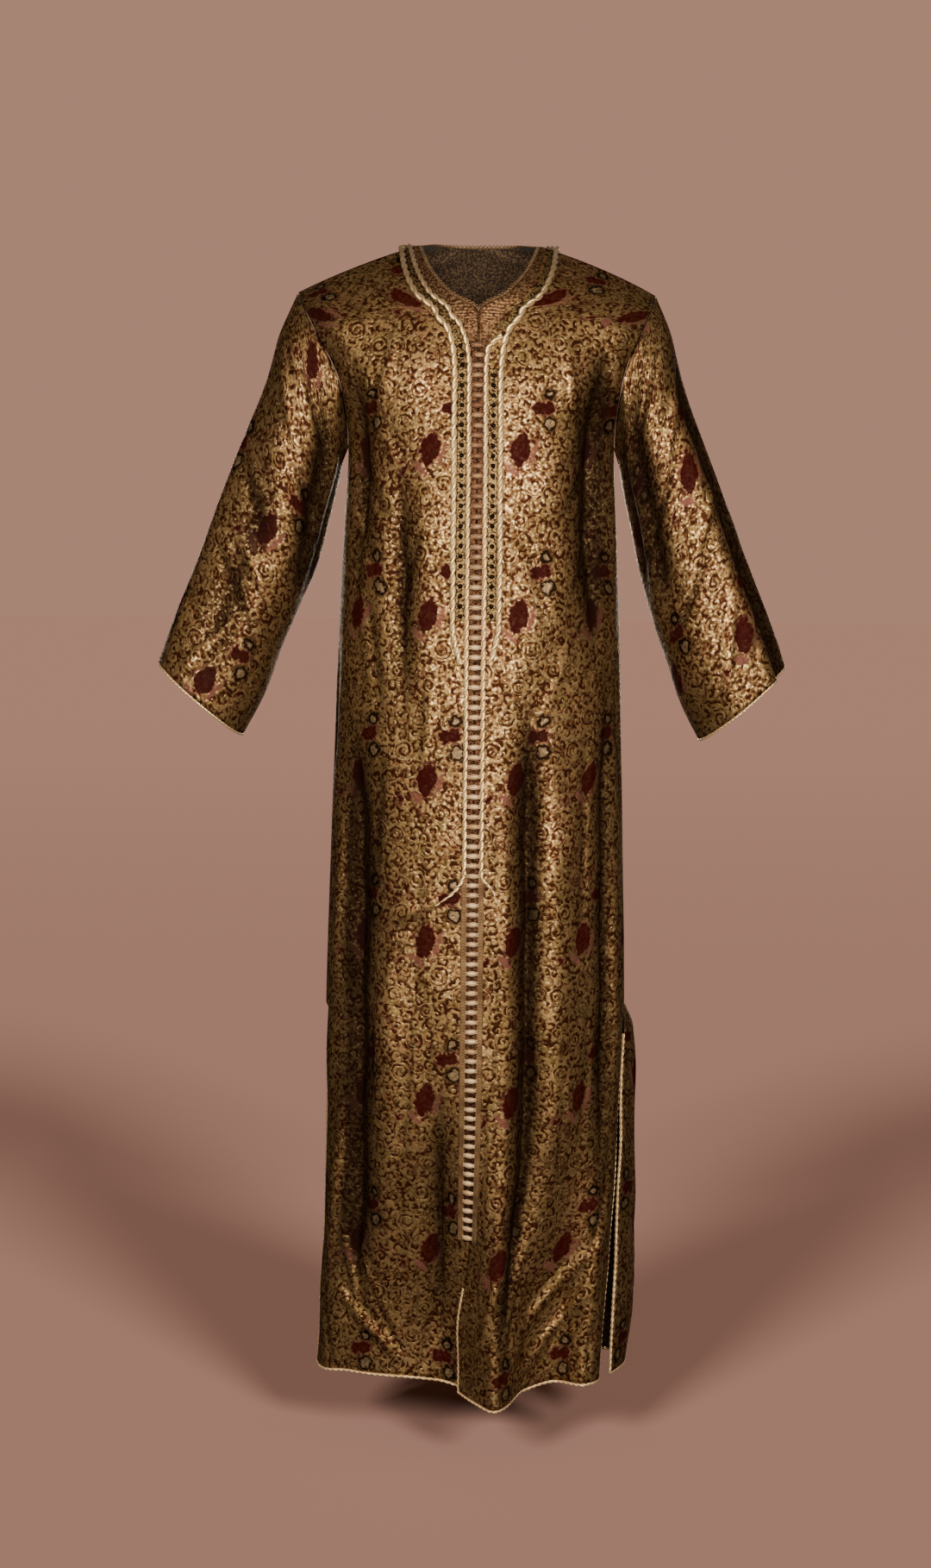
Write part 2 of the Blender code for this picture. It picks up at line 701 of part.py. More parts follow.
def add_front_trims(garment, fronts, cream, braid):
    inner_routes = {-1: INNER_CORD_RIGHT, 1: INNER_CORD_LEFT}
    crossing_low, crossing_high = CORD_CROSSING
    plastron_runs = {
        "plastron_braid_right": (-1, PLASTRON_BRAID_END, SHOULDER),
        "plastron_braid_left": (1, PLASTRON_BRAID_END, crossing_low),
        "neck_braid_left": (1, crossing_high, SHOULDER),
    }

    def edge_start(level):
        return BAND_MARGIN

    def edge_stop(level):
        return read_table(INNER_CORD_RIGHT, level)[0] - INNER_CORD_R - TRIM_GAP

    def plastron_start(level):
        return read_table(INNER_CORD_RIGHT, level)[0] + INNER_CORD_R + TRIM_GAP

    def plastron_stop(level):
        return read_table(OUTER_CORD, level)[0] - OUTER_CORD_R - TRIM_GAP

    for name, (side, low, high) in plastron_runs.items():
        band = band_on(fronts[side], low, high, plastron_start, plastron_stop)
        cloth_solid(garment, name, [band], BRAID_THICK, braid)
    for side, word in SIDES.items():
        front = fronts[side]
        band = band_on(front, LAST_BUTTON, SHOULDER, edge_start, edge_stop)
        cloth_solid(garment, f"front_braid_{word}", [band], BRAID_THICK, cream)
        outer = cord_on(front, OUTER_CORD, OUTER_CORD_R)
        cord_solid(garment, f"outer_cord_{word}", outer, OUTER_CORD_R, cream)
        inner = cord_on(front, inner_routes[side], INNER_CORD_R)
        cord_solid(garment, f"inner_cord_{word}", inner, INNER_CORD_R, cream)
        neck_rows = front.levels > V_POINT - CLOSE / 10
        neckline = edge_run(front.grid[neck_rows, 0], front.grid[neck_rows, 2], PICOT_R + SEAM_GAP)
        neckline[0, 0] = OPENING_X + side * (PICOT_R + SEAM_GAP)
        neckline[0, 2] = V_POINT + V_POINT_RISE
        cord_solid(garment, f"neck_edging_{word}", neckline, PICOT_R, cream)
        cord_solid(garment, f"edge_cord_front_{word}", front_edge_cord(front), EDGE_CORD_R, cream)


def neck_edging_run(back):
    """Beside the back neckline, from the nape to the shoulder."""
    neck_rows = back.levels > NAPE_LEVEL - CLOSE / 10
    nape = back.grid[neck_rows, 0][0]
    run = edge_run(back.grid[neck_rows, 0], back.grid[neck_rows, 2], PICOT_R + SEAM_GAP)
    run[0] = nape + np.array([0, -PICOT_R, PICOT_R + SEAM_GAP])
    run[-1, 1] += SHOULDER_GAP / 2
    return run


def back_band(back):
    """The flat braid inside the cord round the back neck, from the nape to the shoulder."""
    lift = 2 * TRIM_GAP + BRAID_THICK / 2
    places = [(NAPE_LEVEL - BAND_MARGIN, 0, BACK_BAND_BOTTOM, 0)]
    for level in back.levels_between(NAPE_LEVEL, SHOULDER)[1:]:
        places.append((level, BAND_MARGIN, level, BACK_BAND_WIDE))
    rows = [[back.above(*place[:2], lift), back.above(*place[2:], lift)] for place in places]
    return np.array(rows)


def add_back_trims(garment, backs, cream):
    """Neck edging, braid and cord round the back neck, and the cord round the slits and hem."""
    edging = mirrored_run(*(neck_edging_run(backs[side]) for side in SIDES))
    cord_solid(garment, "neck_edging_back", edging, PICOT_R, cream)
    cord = mirrored_run(*(cord_on(backs[side], OUTER_CORD_BACK, OUTER_CORD_R) for side in SIDES))
    cord_solid(garment, "outer_cord_back", cord, OUTER_CORD_R, cream)
    band = mirrored_run(*(back_band(backs[side]) for side in SIDES))
    cloth_solid(garment, "neck_braid_back", [band], BRAID_THICK, cream)
    edge = mirrored_run(*(slit_and_hem(backs[side])[::-1] for side in SIDES))
    cord_solid(garment, "edge_cord_back", edge, EDGE_CORD_R, cream)


def main():
    clear_scene()
    garment = bpy.data.collections.new("moroccan_kaftan")
    bpy.context.scene.collection.children.link(garment)
    brocade = make_material("gold_brocade")
    cream = make_material("cream_cord")
    braid = make_material("dotted_braid")

    underarm_row = int(np.argmin(abs(row_levels() - UNDERARM)))
    fronts = {side: Panel(front_grid(f"front_{word}", side), side) for side, word in SIDES.items()}
    backs = {side: Panel(back_half_grid(f"back_{word}", side), -side) for side, word in SIDES.items()}

    cloth_solid(garment, "back", [backs[-1].grid, backs[1].grid], CLOTH_THICK, brocade)
    for side, word in SIDES.items():
        front, back = fronts[side], backs[side]
        cloth_solid(garment, f"front_{word}", [front.grid], CLOTH_THICK, brocade)
        front_edge = armhole_edge(front.grid, front.normals, underarm_row)
        back_edge = armhole_edge(back.grid, back.normals, underarm_row)
        sleeve = sleeve_grid(f"sleeve_{word}", side, front_edge, back_edge)
        cloth_solid(garment, f"sleeve_{word}", [sleeve], CLOTH_THICK, brocade, closed_round=True)
        cuff = sleeve[-1] + unit(sleeve[-1] - sleeve[-2]) * (CUFF_CORD_R + SEAM_GAP)
        cord_solid(garment, f"cuff_cord_{word}", cuff, CUFF_CORD_R, cream, closed=True)

    add_front_trims(garment, fronts, cream, braid)
    add_back_trims(garment, backs, cream)
    lofted_solid(garment, "button_row", button_row(fronts), cream)


main()
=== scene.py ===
# %% [markdown]
# # A Moroccan kaftan in gold brocade
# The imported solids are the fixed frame: two fronts, a back, two sleeves and their cream trims,
# in the hollow form that the garment keeps when it is worn. This file gives them their looks.
# Each solid is covered by a piece of its own, built from the same named sizes on a finer grid,
# so that the cloth can take small creases and the trims can be real twisted and knotted cord.

# %% Load the solids
import math

import bmesh
import bpy
import numpy as np
from mathutils import Matrix, Vector


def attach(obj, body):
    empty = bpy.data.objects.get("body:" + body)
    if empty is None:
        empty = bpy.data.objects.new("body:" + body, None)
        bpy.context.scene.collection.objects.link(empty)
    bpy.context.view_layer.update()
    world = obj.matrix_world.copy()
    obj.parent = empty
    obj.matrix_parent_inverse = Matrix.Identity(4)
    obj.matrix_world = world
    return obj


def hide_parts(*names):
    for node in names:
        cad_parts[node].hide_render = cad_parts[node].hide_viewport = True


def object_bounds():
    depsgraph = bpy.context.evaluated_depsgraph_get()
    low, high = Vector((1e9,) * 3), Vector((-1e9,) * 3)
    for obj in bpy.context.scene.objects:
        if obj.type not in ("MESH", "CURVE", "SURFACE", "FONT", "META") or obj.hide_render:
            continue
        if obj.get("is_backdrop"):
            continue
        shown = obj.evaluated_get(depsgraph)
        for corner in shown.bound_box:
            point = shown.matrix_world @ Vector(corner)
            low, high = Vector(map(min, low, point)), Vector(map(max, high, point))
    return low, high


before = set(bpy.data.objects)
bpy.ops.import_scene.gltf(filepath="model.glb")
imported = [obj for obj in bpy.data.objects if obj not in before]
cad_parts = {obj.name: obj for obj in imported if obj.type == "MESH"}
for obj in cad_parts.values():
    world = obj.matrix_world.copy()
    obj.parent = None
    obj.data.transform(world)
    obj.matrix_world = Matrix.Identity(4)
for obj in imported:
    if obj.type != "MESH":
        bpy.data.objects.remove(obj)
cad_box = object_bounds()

print(len(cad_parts), "solids, box", [round(side, 3) for side in cad_box[1] - cad_box[0]])

# %% [markdown]
# ## Sizes
# A pattern cutter works from a few lengths: the hem, the slits, the underarm, the neckline and the
# shoulder. They are heights in metres below the points where the neckline meets the shoulder
# seams. Naming them once keeps the cloth, the cords and the buttons in step with each other.

# %% Heights and thicknesses
CLOTH_THICK = 0.0016
BRAID_THICK = 0.0010
SEAM_GAP = 0.0003
SHOULDER_GAP = 0.0012
OUTER_CORD_R = 0.0037
INNER_CORD_R = 0.0031
EDGE_CORD_R = 0.0020
CUFF_CORD_R = 0.0015
PICOT_R = 0.0014

HEM = -1.370
SLIT_TOP = -0.910
SLIT_CORD_TOP = -0.945
UNDERARM = -0.236
V_POINT = -0.0835
SHOULDER = 0.0
NAPE_LEVEL = -0.0557
LAST_BUTTON = -1.180
FRONT_SLIT_OPEN = -1.300
FRONT_SLIT_CORD_TOP = -1.240
PLASTRON_END = -0.490
PLASTRON_BRAID_END = -0.440
CORD_CROSSING = (-0.150, -0.103)
BAND_TOP = -0.735
OPENING_X = -0.005
SHOULDER_LEAN = -0.007
SIDES = {-1: "right", 1: "left"}

# %% [markdown]
# ## Smooth curves through short tables
# Every form here is read from a short table of heights and places. A monotone cubic curve is drawn
# through the rows, because it never swings past them as an ordinary spline does, so a panel can't
# bulge between two rows. The functions take whole arrays, which keeps thousands of points quick.

# %% Curve helpers
def through(knots, values, at):
    """The smooth curve through values at rising knots, read at many places, with no overshoot."""
    knots, values, at = (np.asarray(item, float) for item in (knots, values, at))
    wide = (-1,) + (1,) * (values.ndim - 1)
    steps = np.diff(values, axis=0) / np.diff(knots).reshape(wide)
    before, after = steps[:-1], steps[1:]
    same_way = before * after > 0
    total = np.where(same_way, before + after, 1.0)
    inner = np.where(same_way, 2 * before * after / total, 0.0)
    slopes = np.concatenate([steps[:1], inner, steps[-1:]])
    at = np.clip(at, knots[0], knots[-1])
    i = np.clip(np.searchsorted(knots, at) - 1, 0, len(knots) - 2)
    span = (knots[i + 1] - knots[i]).reshape(wide)
    u = (at - knots[i]).reshape(wide) / span
    near = 2 * u**3 - 3 * u**2 + 1
    bend = (u**3 - 2 * u**2 + u) * slopes[i] + (u**3 - u**2) * slopes[i + 1]
    return near * values[i] + (1 - near) * values[i + 1] + bend * span


def read_table(table, levels):
    """A table's other columns at some levels, its first column being the level."""
    rows = np.array(sorted(table))
    return through(rows[:, 0], rows[:, 1:], levels)


def smooth_step(a, b, value):
    u = np.clip((np.asarray(value, float) - a) / (b - a), 0.0, 1.0)
    return u * u * (3 - 2 * u)


def unit(vectors):
    return vectors / np.linalg.norm(vectors, axis=-1, keepdims=True)


def lengths_along(path):
    return np.r_[0, np.cumsum(np.linalg.norm(np.diff(path, axis=0), axis=1))]


def points_at(path, places):
    lengths = lengths_along(path)
    return np.stack([np.interp(places, lengths, path[:, k]) for k in range(3)], axis=-1)


def even_points(path, count):
    return points_at(path, np.linspace(0, lengths_along(path)[-1], count))


# %% [markdown]
# ## The rows of a panel
# A panel is a stack of rows from the hem up to the shoulder seam. Each row is one soft curve from
# the opening or the centre line, round a knee, to the side seam, slit or armhole. Rows suit cloth,
# because a fold then only has to say how far it pushes each row in or out.

# %% Row heights
ROW_BANDS = (
    # from, to, rows
    (HEM, SLIT_TOP, 96),
    (SLIT_TOP, UNDERARM, 135),
    (UNDERARM, V_POINT, 40),
    (V_POINT, SHOULDER, 24),
)
ARMHOLE_PARTS = (5 / 11, 6 / 11)
FRONT_COLUMNS = 81
BACK_COLUMNS = 61
ROW_SAMPLES = 240
KNEE_PULL = 0.56
KNEE_FOLLOW = 0.7
SHOULDER_BLEND = 0.014

LEVELS = [HEM]
for low, high, rows in ROW_BANDS:
    LEVELS += list(np.linspace(low, high, rows + 1)[1:])
LEVELS = np.array(LEVELS)
print(len(LEVELS), "rows to a panel,", f"{1000 * np.diff(LEVELS).max():.1f} mm apart at most")

# %% Section tables
FRONT_SECTIONS = (
    # level, start x, y, z, knee x, y, z, end x, y, z
    (-1.3700, 0.0000, -0.128, -1.3700, 0.186, -0.126, -1.370, 0.1900, 0.006, -1.370),
    (-1.1500, 0.0000, -0.130, -1.1500, 0.184, -0.128, -1.150, 0.1860, 0.004, -1.150),
    (-0.9100, 0.0000, -0.131, -0.9100, 0.181, -0.130, -0.910, 0.1820, 0.002, -0.910),
    (-0.6000, 0.0000, -0.131, -0.6000, 0.174, -0.130, -0.600, 0.1730, 0.000, -0.600),
    (-0.4200, 0.0000, -0.129, -0.4200, 0.167, -0.129, -0.420, 0.1670, 0.000, -0.420),
    (-0.3100, 0.0000, -0.126, -0.3100, 0.162, -0.130, -0.310, 0.1610, 0.000, -0.310),
    (-0.2360, 0.0000, -0.120, -0.2360, 0.160, -0.128, -0.236, 0.1580, 0.000, -0.236),
    (-0.1550, 0.0000, -0.106, -0.1550, 0.158, -0.112, -0.155, 0.1660, -0.050, -0.158),
    (-0.0835, 0.0000, -0.084, -0.0835, 0.142, -0.088, -0.088, 0.1870, -0.049, -0.112),
    (-0.0605, 0.0350, -0.071, -0.0605, 0.140, -0.069, -0.070, 0.1990, -0.036, -0.087),
    (-0.0280, 0.0605, -0.040, -0.0280, 0.140, -0.037, -0.043, 0.2080, -0.017, -0.068),
    (0.0000, 0.0720, 0.004, 0.0000, 0.145, 0.004, -0.019, 0.2125, 0.004, -0.056),
)
BACK_SECTIONS = (
    # level, start x, y, z, knee x, y, z, end x, y, z
    (-1.3700, 0.0000, 0.128, -1.3700, 0.186, 0.126, -1.370, 0.1920, 0.010, -1.370),
    (-1.1500, 0.0000, 0.127, -1.1500, 0.184, 0.125, -1.150, 0.1870, 0.006, -1.150),
    (-0.9100, 0.0000, 0.125, -0.9100, 0.181, 0.124, -0.910, 0.1820, 0.002, -0.910),
    (-0.6000, 0.0000, 0.118, -0.6000, 0.174, 0.118, -0.600, 0.1730, 0.000, -0.600),
    (-0.4200, 0.0000, 0.106, -0.4200, 0.167, 0.107, -0.420, 0.1670, 0.000, -0.420),
    (-0.3100, 0.0000, 0.103, -0.3100, 0.162, 0.105, -0.310, 0.1610, 0.000, -0.310),
    (-0.2360, 0.0000, 0.104, -0.2360, 0.160, 0.108, -0.236, 0.1580, 0.000, -0.236),
    (-0.1550, 0.0000, 0.103, -0.1200, 0.158, 0.110, -0.150, 0.1700, 0.055, -0.160),
    (-0.0835, 0.0000, 0.086, -0.0350, 0.150, 0.094, -0.080, 0.1880, 0.054, -0.112),
    (-0.0557, 0.0000, 0.064, 0.0040, 0.146, 0.072, -0.052, 0.1990, 0.043, -0.090),
    (-0.0418, 0.0270, 0.0605, 0.0045, 0.146, 0.056, -0.041, 0.2040, 0.034, -0.078),
    (-0.0278, 0.0490, 0.047, 0.0045, 0.145, 0.038, -0.031, 0.2080, 0.024, -0.068),
    (0.0000, 0.0720, 0.004, 0.0000, 0.145, 0.004, -0.019, 0.2125, 0.004, -0.056),
)
SLIT_EDGES = {
    # level, x, y, how far the row's knee stands out
    "front_right": (
        (-0.910, -0.1790, 0.002, 0.000),
        (-0.945, -0.1790, -0.003, 0.000),
        (-1.150, -0.1820, -0.002, 0.000),
        (-1.300, -0.1870, 0.004, 0.000),
        (-1.370, -0.1920, 0.010, 0.000),
    ),
    "front_left": (
        (-0.910, 0.1820, 0.002, 0.000),
        (-0.945, 0.1800, -0.004, 0.000),
        (-1.150, 0.1710, -0.024, 0.000),
        (-1.300, 0.1605, -0.040, 0.000),
        (-1.370, 0.1565, -0.047, 0.000),
    ),
    "back_right": (
        (-0.910, -0.1790, 0.002, 0.000),
        (-0.945, -0.1800, 0.007, 0.000),
        (-1.150, -0.1810, 0.026, 0.000),
        (-1.300, -0.1820, 0.038, 0.000),
        (-1.370, -0.1810, 0.044, 0.000),
    ),
    "back_left": (
        (-0.910, 0.1820, 0.002, 0.030),
        (-0.945, 0.1830, 0.006, 0.085),
        (-1.150, 0.1800, -0.003, 0.114),
        (-1.300, 0.1760, -0.010, 0.121),
        (-1.370, 0.1720, -0.013, 0.112),
    ),
}


# %% Draw the rows
def section_rows(sections, side, slit, columns):
    """All rows of a panel before its folds, at the wearer's left (side 1) or right (side -1)."""
    corners = read_table(sections, LEVELS).reshape(-1, 3, 3)
    corners[:, :, 0] *= side
    start, knee, end = corners[:, 0], corners[:, 1], corners[:, 2]
    low = LEVELS < SLIT_TOP
    x, y, knee_out = read_table(slit, LEVELS[low]).T
    knee[low, 0] += KNEE_FOLLOW * (x - end[low, 0]) + side * knee_out
    end[low, 0], end[low, 1] = x, y
    first = start + (knee - start) * KNEE_PULL
    second = end + (knee - end) * KNEE_PULL
    u = np.linspace(0, 1, ROW_SAMPLES)[:, None, None]
    path = (1 - u) ** 3 * start + 3 * u * (1 - u) ** 2 * first
    path = path + 3 * u**2 * (1 - u) * second + u**3 * end
    return np.array([even_points(path[:, k], columns) for k in range(len(LEVELS))])


def row_lengths(grid):
    """How far each point lies along its row."""
    steps = np.linalg.norm(np.diff(grid, axis=1), axis=2)
    return np.concatenate([np.zeros((len(grid), 1)), np.cumsum(steps, axis=1)], axis=1)


def grid_normals(grid, facing):
    """Outward unit normals of a grid. facing is 1 where columns x rows points outward."""
    return facing * unit(np.cross(np.gradient(grid, axis=1), np.gradient(grid, axis=0)))


def lean(levels, shares):
    """Sideways lean of a row: the opening, the neckline and the shoulders stand off the middle."""
    at_shoulder = SHOULDER_LEAN * smooth_step(UNDERARM, SHOULDER, levels) * shares
    return OPENING_X * (1 - shares) ** 2 + at_shoulder


# %% [markdown]
# ## Folds and creases
# Heavy brocade hangs in a few wide folds, with smaller creases where it is drawn: slanting from the
# underarm, across the front where the tight row of knots ends, and at the corners of the hem. Cloth
# simulation could fall into such folds, but never just these, so each one is listed: where it
# starts and ends, how wide and how deep. The largest ones are in the solids as well.

# %% Tables of the folds
FRONT_FOLDS = {
    # level a, across a, level b, across b, half width, depth
    "front_left": (
        (-0.520, 0.066, -1.330, 0.072, 0.016, -0.020),
        (-0.620, 0.104, -1.300, 0.108, 0.022, 0.007),
        (-0.085, 0.154, -0.500, 0.158, 0.030, -0.022),
        (-0.480, 0.180, -1.150, 0.180, 0.018, -0.012),
    ),
    "front_right": (
        (-0.120, 0.150, -0.440, 0.162, 0.019, -0.015),
        (-0.240, 0.094, -0.560, 0.086, 0.016, -0.012),
        (-0.560, 0.158, -1.300, 0.152, 0.030, -0.022),
        (-0.760, 0.104, -1.320, 0.106, 0.022, 0.006),
        (-0.960, 0.038, -1.340, 0.034, 0.013, -0.012),
    ),
}
BACK_FOLDS = {
    "back_left": (
        (-0.300, 0.060, HEM, 0.074, 0.024, -0.016),
        (-0.420, 0.112, HEM, 0.124, 0.020, 0.010),
        (-0.350, 0.150, HEM, 0.166, 0.016, -0.012),
    ),
    "back_right": (
        (-0.260, 0.048, HEM, 0.060, 0.022, -0.013),
        (-0.500, 0.100, HEM, 0.108, 0.022, 0.009),
        (-0.330, 0.142, HEM, 0.152, 0.017, -0.014),
    ),
}
CREASES = {
    # level a, across a, level b, across b, half width, depth: soft troughs, or ridges above zero
    "front_left": (
        (-0.735, 0.012, -0.752, 0.036, 0.0050, 0.0022),
        (-0.752, 0.030, -1.010, 0.022, 0.0042, 0.0022),
        (-0.990, 0.024, -1.260, 0.030, 0.0050, 0.0018),
        (-0.250, 0.150, -0.330, 0.095, 0.0085, -0.0026),
        (-0.205, 0.135, -0.290, 0.070, 0.0090, 0.0016),
        (-0.300, 0.175, -0.410, 0.118, 0.0100, -0.0026),
        (-0.170, 0.120, -0.235, 0.132, 0.0070, -0.0022),
        (-0.110, 0.100, -0.200, 0.118, 0.0080, 0.0016),
        (-0.345, 0.060, -0.470, 0.090, 0.0100, -0.0018),
        (-0.455, 0.118, -0.560, 0.080, 0.0095, 0.0010),
        (-0.500, 0.205, -0.700, 0.222, 0.0120, -0.0040),
        (-0.560, 0.140, -0.830, 0.136, 0.0080, -0.0024),
        (-0.640, 0.034, -0.900, 0.044, 0.0085, 0.0020),
        (-0.700, 0.200, -1.020, 0.206, 0.0100, 0.0034),
        (-0.800, 0.240, -0.905, 0.205, 0.0080, -0.0026),
        (-0.880, 0.150, -1.080, 0.142, 0.0075, -0.0022),
        (-0.960, 0.108, -1.120, 0.118, 0.0060, -0.0024),
        (-1.060, 0.196, -1.260, 0.184, 0.0090, -0.0036),
        (-1.190, 0.205, -1.335, 0.080, 0.0120, 0.0048),
        (-1.245, 0.212, -1.350, 0.128, 0.0105, 0.0044),
        (-1.150, 0.060, -1.340, 0.040, 0.0070, 0.0030),
        (-1.180, 0.104, -1.350, 0.078, 0.0065, -0.0036),
        (-1.220, 0.200, -1.360, 0.170, 0.0065, 0.0032),
        (-1.255, 0.012, -1.365, 0.022, 0.0060, -0.0024),
        (-1.290, 0.215, -1.380, 0.225, 0.0070, -0.0034),
    ),
    "front_right": (
        (-0.735, 0.012, -0.765, 0.036, 0.0045, 0.0028),
        (-0.762, 0.034, -0.795, 0.106, 0.0055, 0.0030),
        (-0.790, 0.050, -0.815, 0.120, 0.0070, -0.0022),
        (-0.240, 0.160, -0.330, 0.105, 0.0085, -0.0028),
        (-0.190, 0.140, -0.280, 0.082, 0.0090, 0.0018),
        (-0.300, 0.185, -0.400, 0.128, 0.0100, 0.0026),
        (-0.330, 0.066, -0.440, 0.096, 0.0090, -0.0024),
        (-0.150, 0.122, -0.240, 0.136, 0.0070, -0.0024),
        (-0.100, 0.098, -0.190, 0.112, 0.0080, 0.0016),
        (-0.400, 0.140, -0.560, 0.116, 0.0090, -0.0026),
        (-0.470, 0.210, -0.680, 0.225, 0.0120, -0.0038),
        (-0.500, 0.050, -0.640, 0.060, 0.0090, 0.0020),
        (-0.590, 0.112, -0.760, 0.126, 0.0085, -0.0028),
        (-0.640, 0.190, -0.900, 0.198, 0.0100, 0.0032),
        (-0.700, 0.060, -0.880, 0.070, 0.0080, -0.0020),
        (-0.820, 0.242, -0.910, 0.208, 0.0080, -0.0026),
        (-0.860, 0.122, -1.060, 0.128, 0.0075, -0.0026),
        (-0.900, 0.064, -1.120, 0.070, 0.0080, 0.0024),
        (-1.020, 0.180, -1.250, 0.192, 0.0100, 0.0040),
        (-1.080, 0.030, -1.300, 0.024, 0.0060, 0.0022),
        (-1.120, 0.086, -1.300, 0.082, 0.0070, -0.0028),
        (-1.180, 0.176, -1.290, 0.140, 0.0055, 0.0040),
        (-1.200, 0.142, -1.310, 0.094, 0.0055, 0.0040),
        (-1.240, 0.128, -1.350, 0.084, 0.0060, -0.0034),
        (-1.260, 0.200, -1.365, 0.176, 0.0065, -0.0030),
        (-1.290, 0.050, -1.375, 0.060, 0.0060, -0.0026),
        (-1.262, 0.178, -1.355, 0.078, 0.0090, 0.0044),
    ),
    "back_left": (
        (-0.130, 0.010, -0.200, 0.075, 0.0110, 0.0022),
        (-0.150, 0.135, -0.270, 0.110, 0.0090, -0.0030),
        (-0.230, 0.165, -0.330, 0.108, 0.0095, -0.0030),
        (-0.300, 0.012, -0.420, 0.026, 0.0110, -0.0022),
        (-0.280, 0.172, -0.400, 0.122, 0.0090, 0.0026),
        (-0.380, 0.090, -0.560, 0.084, 0.0090, 0.0028),
        (-0.440, 0.200, -0.640, 0.214, 0.0120, -0.0034),
        (-0.560, 0.030, -0.800, 0.036, 0.0100, 0.0026),
        (-0.620, 0.130, -0.860, 0.138, 0.0080, -0.0028),
        (-0.700, 0.190, -0.960, 0.196, 0.0100, 0.0032),
        (-0.820, 0.010, -1.060, 0.004, 0.0100, -0.0026),
        (-0.930, 0.104, -1.160, 0.098, 0.0080, 0.0030),
        (-1.020, 0.036, -1.240, 0.044, 0.0080, -0.0028),
        (-1.080, 0.206, -1.290, 0.196, 0.0090, -0.0036),
        (-1.160, 0.140, -1.320, 0.112, 0.0070, 0.0038),
        (-1.200, 0.240, -1.350, 0.216, 0.0070, 0.0032),
        (-1.240, 0.080, -1.360, 0.060, 0.0070, -0.0030),
        (-1.270, 0.020, -1.370, 0.014, 0.0070, 0.0026),
    ),
    "back_right": (
        (-0.140, 0.018, -0.230, 0.082, 0.0110, -0.0022),
        (-0.160, 0.130, -0.260, 0.118, 0.0085, 0.0026),
        (-0.235, 0.160, -0.345, 0.112, 0.0095, -0.0032),
        (-0.290, 0.100, -0.400, 0.086, 0.0100, 0.0022),
        (-0.330, 0.180, -0.450, 0.128, 0.0090, 0.0028),
        (-0.420, 0.014, -0.600, 0.020, 0.0100, -0.0026),
        (-0.470, 0.206, -0.660, 0.196, 0.0120, -0.0036),
        (-0.540, 0.078, -0.780, 0.072, 0.0090, 0.0028),
        (-0.640, 0.124, -0.840, 0.116, 0.0080, -0.0024),
        (-0.760, 0.188, -1.000, 0.182, 0.0100, 0.0034),
        (-0.860, 0.026, -1.100, 0.034, 0.0090, 0.0028),
        (-0.980, 0.084, -1.200, 0.090, 0.0080, -0.0030),
        (-1.090, 0.196, -1.280, 0.206, 0.0090, -0.0034),
        (-1.150, 0.122, -1.310, 0.150, 0.0070, 0.0038),
        (-1.190, 0.020, -1.340, 0.010, 0.0080, -0.0028),
        (-1.230, 0.230, -1.360, 0.206, 0.0070, 0.0030),
        (-1.260, 0.066, -1.370, 0.080, 0.0070, 0.0028),
    ),
}
FOLD_FADE = 0.16
FOLD_LEAD = 0.02
SEAM_CALM = 0.035
TOP_CALM = 0.020
FOLD_SIDEWAYS = 0.45
TROUGH_ROUND, TROUGH_WIDE = 0.10, 1.9
CREASE_BLUNT, CREASE_SHOULDER = 0.8, 0.8
RIPPLE = 0.0007
RIPPLES = (
    # waves up, across, how far the other way bends them
    (41, 24, 2.3),
    (19, 63, 1.7),
)
RIPPLE_CROSS = 0.6
# Painted shade: the fold and crease depths at which the brocade's colour is painted fully dark, and
# how far in from each side seam and how strongly it is painted darker there
DEEP_FOLD, DEEP_CREASE = 0.010, 0.007
SIDE_REACH = 0.045
SIDE_SHADE = {"front_left": 0.35, "front_right": 0.60, "back_left": 0.30, "back_right": 0.30}


# %% Push the rows in and out
def fold_push(levels, across, fold):
    level_a, across_a, level_b, across_b, half_width, depth = fold
    share = np.clip((levels - level_a) / (level_b - level_a), 0, 1)
    middle = across_a + (across_b - across_a) * share
    fade = smooth_step(level_a + FOLD_LEAD, level_a - FOLD_FADE, levels)
    if level_b > HEM:
        fade = fade * smooth_step(level_b - FOLD_LEAD, level_b + FOLD_FADE, levels)
    off = np.hypot((across - middle) / half_width, TROUGH_ROUND) - TROUGH_ROUND
    trough = np.clip(1 - off / TROUGH_WIDE, 0, 1) ** 2
    return depth * fade * np.where(depth < 0, trough, np.exp(-(off**2)))


def crease_shape(depth, place, off):
    """A crease is deepest halfway, dies out at both ends and has faint shoulders on both sides."""
    deep = depth * np.sin(np.pi * place) ** CREASE_BLUNT
    return deep * (1 - CREASE_SHOULDER * off) * np.exp(-off)


def crease_push(levels, across, crease):
    level_a, across_a, level_b, across_b, half_width, depth = crease
    rise, run = level_b - level_a, across_b - across_a
    place = ((levels - level_a) * rise + (across - across_a) * run) / (rise**2 + run**2)
    place = np.clip(place, 0, 1)
    away = np.hypot(levels - level_a - place * rise, across - across_a - place * run)
    return crease_shape(depth, place, (away / half_width) ** 2)


def ripple(levels, across, phase):
    """The faint unevenness that no heavy cloth is without."""
    (up, over, bend), (other_up, other_over, other_bend) = RIPPLES
    first = np.sin(levels * up + bend * np.sin(across * over + phase) + phase)
    sway = np.sin(levels * other_up - phase)
    second = np.sin(across * other_over + other_bend * sway + 2 * phase)
    return RIPPLE * (first + second + RIPPLE_CROSS * first * second)


painted_shades = {}


